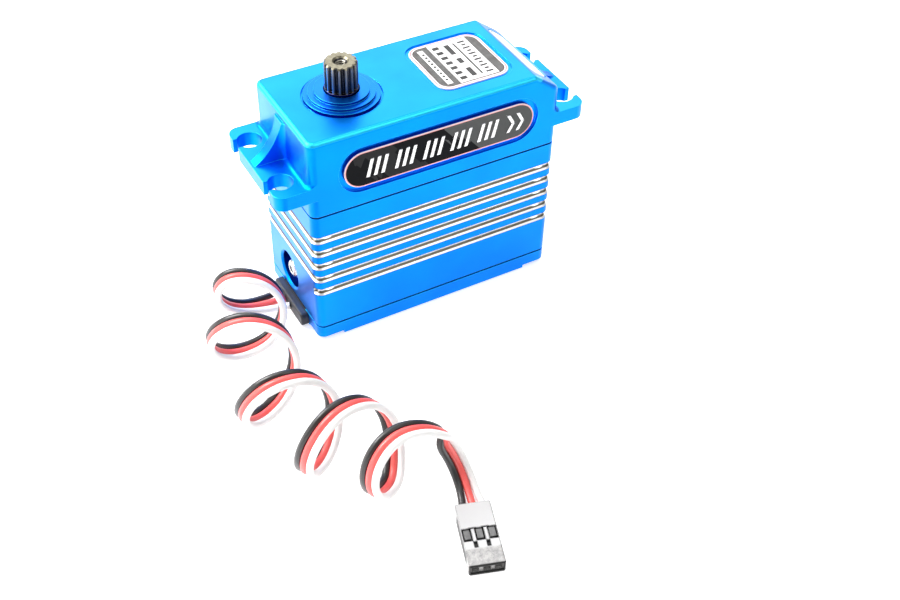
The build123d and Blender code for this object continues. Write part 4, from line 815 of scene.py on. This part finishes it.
def badge_outlines():
    """Slanted bars in groups, and two chevrons."""
    first = -(BAR_GROUPS - 1) / 2 * GROUP_PITCH - BAR_PITCH - GROUPS_LEFT
    outlines = []
    for number in range(BAR_GROUPS * BARS_PER_GROUP):
        group, place_in_group = divmod(number, BARS_PER_GROUP)
        middle_u = first + group * GROUP_PITCH + place_in_group * BAR_PITCH
        outlines.append(bar(middle_u, 0, BAR_WIDTH, BAR_HEIGHT, BAR_LEAN))
    for tip in CHEVRON_TIPS:
        for half in (-1, 1):
            lean = -half * CHEVRON_LEAN
            outlines.append(bar(tip, half * BAR_HEIGHT / 4, BAR_WIDTH, BAR_HEIGHT / 2, lean))
    return outlines


def add_badge_bars(name, node, side):
    """The raised motif on the badge of one side of the case, -1 in front and 1 at the back."""
    low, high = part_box(node)
    middle = (low + high) / 2
    face_y = low.y if side < 0 else high.y

    def point_at(u, v, w):
        return Vector((middle.x - side * u * MM, face_y + side * w * MM, middle.z + v * MM))

    def fill(bm):
        for outline in badge_outlines():
            add_plate(bm, outline, -BAR_SUNK, BAR_PROUD, point_at, inset=BAR_CHAMFER)

    new_piece(name, fill, "case", [bar_metal], smooth_angle=20)


# In millimetres: the panels (middle and size), and the marks on them, in columns of plain blocks
# (the column's place, its first block, the step to the next one, and the size of each).
PANEL_SUNK, PANEL_PROUD, MARK_PROUD = 0.02, 0.04, 0.07
LABEL_PANELS = ((1.2, 0, 10.4, 17.1), (-6.3, 0, 1.5, 15.4))
MARK_COLUMNS = (
    (4.6, -7.0, 1.4, ((1.9, 0.6), (1.1, 0.6)) * 5 + ((1.9, 0.6),)),
    (2.5, 0, 0, ((0.45, 14.5),)),
    (0.5, -5.4, 5.2, ((1.3, 3.6), (1.3, 2.2), (1.3, 4.4))),
    (-2.4, -6.9, 2.3, ((1.7, 1.2),) * 7),
    (-6.3, -5.8, 1.45, ((0.6, 0.7),) * 9),
)


def label_marks():
    """The outlines of the dark marks: a scale of lines, a rule and rows of plain blocks."""
    marks = []
    for across, first, step, sizes in MARK_COLUMNS:
        for number, (width, height) in enumerate(sizes):
            marks.append(bar(across, first + step * number, width, height))
    return marks


def add_label_panels():
    """White panels and dark marks on the label of the top face."""
    low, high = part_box("top_label")
    middle = (low + high) / 2

    def point_at(u, v, w):
        return Vector((middle.x + u * MM, middle.y + v * MM, high.z + w * MM))

    def fill(bm):
        for panel in LABEL_PANELS:
            add_plate(bm, bar(*panel), -PANEL_SUNK, PANEL_PROUD, point_at)
        for outline in label_marks():
            add_plate(bm, outline, 0, MARK_PROUD, point_at, material_index=1)

    new_piece("top_label_print", fill, "case", [label_paper, label_ink], smooth_angle=20)


# In millimetres, from the end of the shaft down.
THREAD_TURNS, THREAD_PITCH, THREAD_STEPS, THREAD_START = 10, 0.5, 28, 0.75
THREAD_OUTER, THREAD_INNER, THREAD_HALF = 1.27, 1.02, 0.2


def add_horn_thread():
    """The thread in the hole of the output shaft, a wedge that winds down."""
    low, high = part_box("output_shaft")
    middle = (low + high) / 2
    top = high.z / MM - THREAD_START
    section = ((THREAD_OUTER, -THREAD_HALF), (THREAD_INNER, 0.0), (THREAD_OUTER, THREAD_HALF))

    def fill(bm):
        rings = []
        for step in range(THREAD_TURNS * THREAD_STEPS + 1):
            angle = 2 * pi * step / THREAD_STEPS
            height = top - THREAD_PITCH * step / THREAD_STEPS
            ring = []
            for radius, rise in section:
                spot = Vector((radius * cos(angle), radius * sin(angle), height + rise)) * MM
                ring.append(bm.verts.new(spot + Vector((middle.x, middle.y, 0))))
            rings.append(ring)
        for here, there in zip(rings, rings[1:]):
            for k in range(len(section)):
                bm.faces.new((here[k], here[k - 1], there[k - 1], there[k]))
        bm.faces.new(rings[0])
        bm.faces.new(rings[-1])

    new_piece("horn_thread", fill, "output", [thread_metal], smooth_angle=30)


bar_metal = metal("badge_bar_metal", (0.86, 0.86, 0.87), 0.2)
label_paper = plastic("label_paper", LABEL_WHITE, 0.5, variation=0.04)
label_ink = plastic("label_ink", (0.012, 0.012, 0.012), 0.5, variation=0.1, edge_gain=0.0)
thread_metal = metal("thread_metal", (0.34, 0.32, 0.27), 0.3)
add_badge_bars("front_badge_bars", "front_badge", -1)
add_badge_bars("back_badge_bars", "back_badge", 1)
add_label_panels()
add_horn_thread()

# ============================ floor and light ============================

FLOOR_HALF, FLOOR_GREYS, FLOOR_GLOW = 3.0, ((0.72, 0.72, 0.72), (0.75, 0.75, 0.75)), 0.62
# The sky's shade overhead and at the horizon, and the heights between which it changes.
SKY_GREY, HORIZON_WHITE, SKY_FADE = (0.5, 0.5, 0.5), (1.0, 1.0, 1.0), (0.22, 0.04)
CASE_MIDDLE = (0, 0, 0.03)
# Studio lights, all square: name, place, target, width, power.
PANELS = (
    ("key", (-0.25, 0.15, 0.75), CASE_MIDDLE, 0.7, 3.0),
    ("left", (-0.75, 0.05, 0.30), CASE_MIDDLE, 0.5, 2.0),
    ("back", (0.36, 0.68, 0.72), CASE_MIDDLE, 0.9, 6.5),
    ("front_top", (0.22, -0.40, 0.66), CASE_MIDDLE, 0.35, 0.9),
    ("sweep", (-0.30, 0.22, 0.34), (-0.16, 0.10, 0), 0.3, 3.5),
)


def add_floor():
    """A wide white floor, bright enough to run into the sky."""
    mesh = bpy.data.meshes.new("floor")
    bm = bmesh.new()
    bmesh.ops.create_grid(bm, x_segments=8, y_segments=8, size=FLOOR_HALF)
    bm.to_mesh(mesh)
    bm.free()
    material, tree, shader = new_material("floor_white")
    cloud = noise(tree, place(tree), scale=30, detail=2)
    put(tree, shader.inputs["Base Color"], blend(tree, cloud, *FLOOR_GREYS))
    shader.inputs["Roughness"].default_value = 0.8
    shader.inputs["Specular IOR Level"].default_value = 0.0
    shader.inputs["Emission Color"].default_value = (1, 1, 1, 1)
    shader.inputs["Emission Strength"].default_value = FLOOR_GLOW
    mesh.materials.append(material)
    floor = bpy.data.objects.new("floor", mesh)
    scene.collection.objects.link(floor)


def add_panel(name, place_at, target, width, power):
    """A soft square studio light."""
    data = bpy.data.lights.new(name, "AREA")
    data.shape, data.size, data.energy = "SQUARE", width, power
    light = bpy.data.objects.new(name, data)
    light.location = place_at
    light.rotation_euler = (Vector(target) - Vector(place_at)).to_track_quat("-Z", "Y").to_euler()
    scene.collection.objects.link(light)


def add_light():
    """The sky, the studio lights and the way that colours are shown."""
    world = bpy.data.worlds.new("studio")
    world.use_nodes = True
    tree = world.node_tree
    upward = axes(tree, tree.nodes.new("ShaderNodeTexCoord").outputs["Generated"])[2]
    shade = blend(tree, spread(tree, upward, *SKY_FADE), SKY_GREY, HORIZON_WHITE)
    put(tree, tree.nodes["Background"].inputs["Color"], shade)
    scene.world = world
    for panel in PANELS:
        add_panel(*panel)
    scene.view_settings.view_transform = "Standard"
    scene.view_settings.look = "None"


add_floor()
add_light()
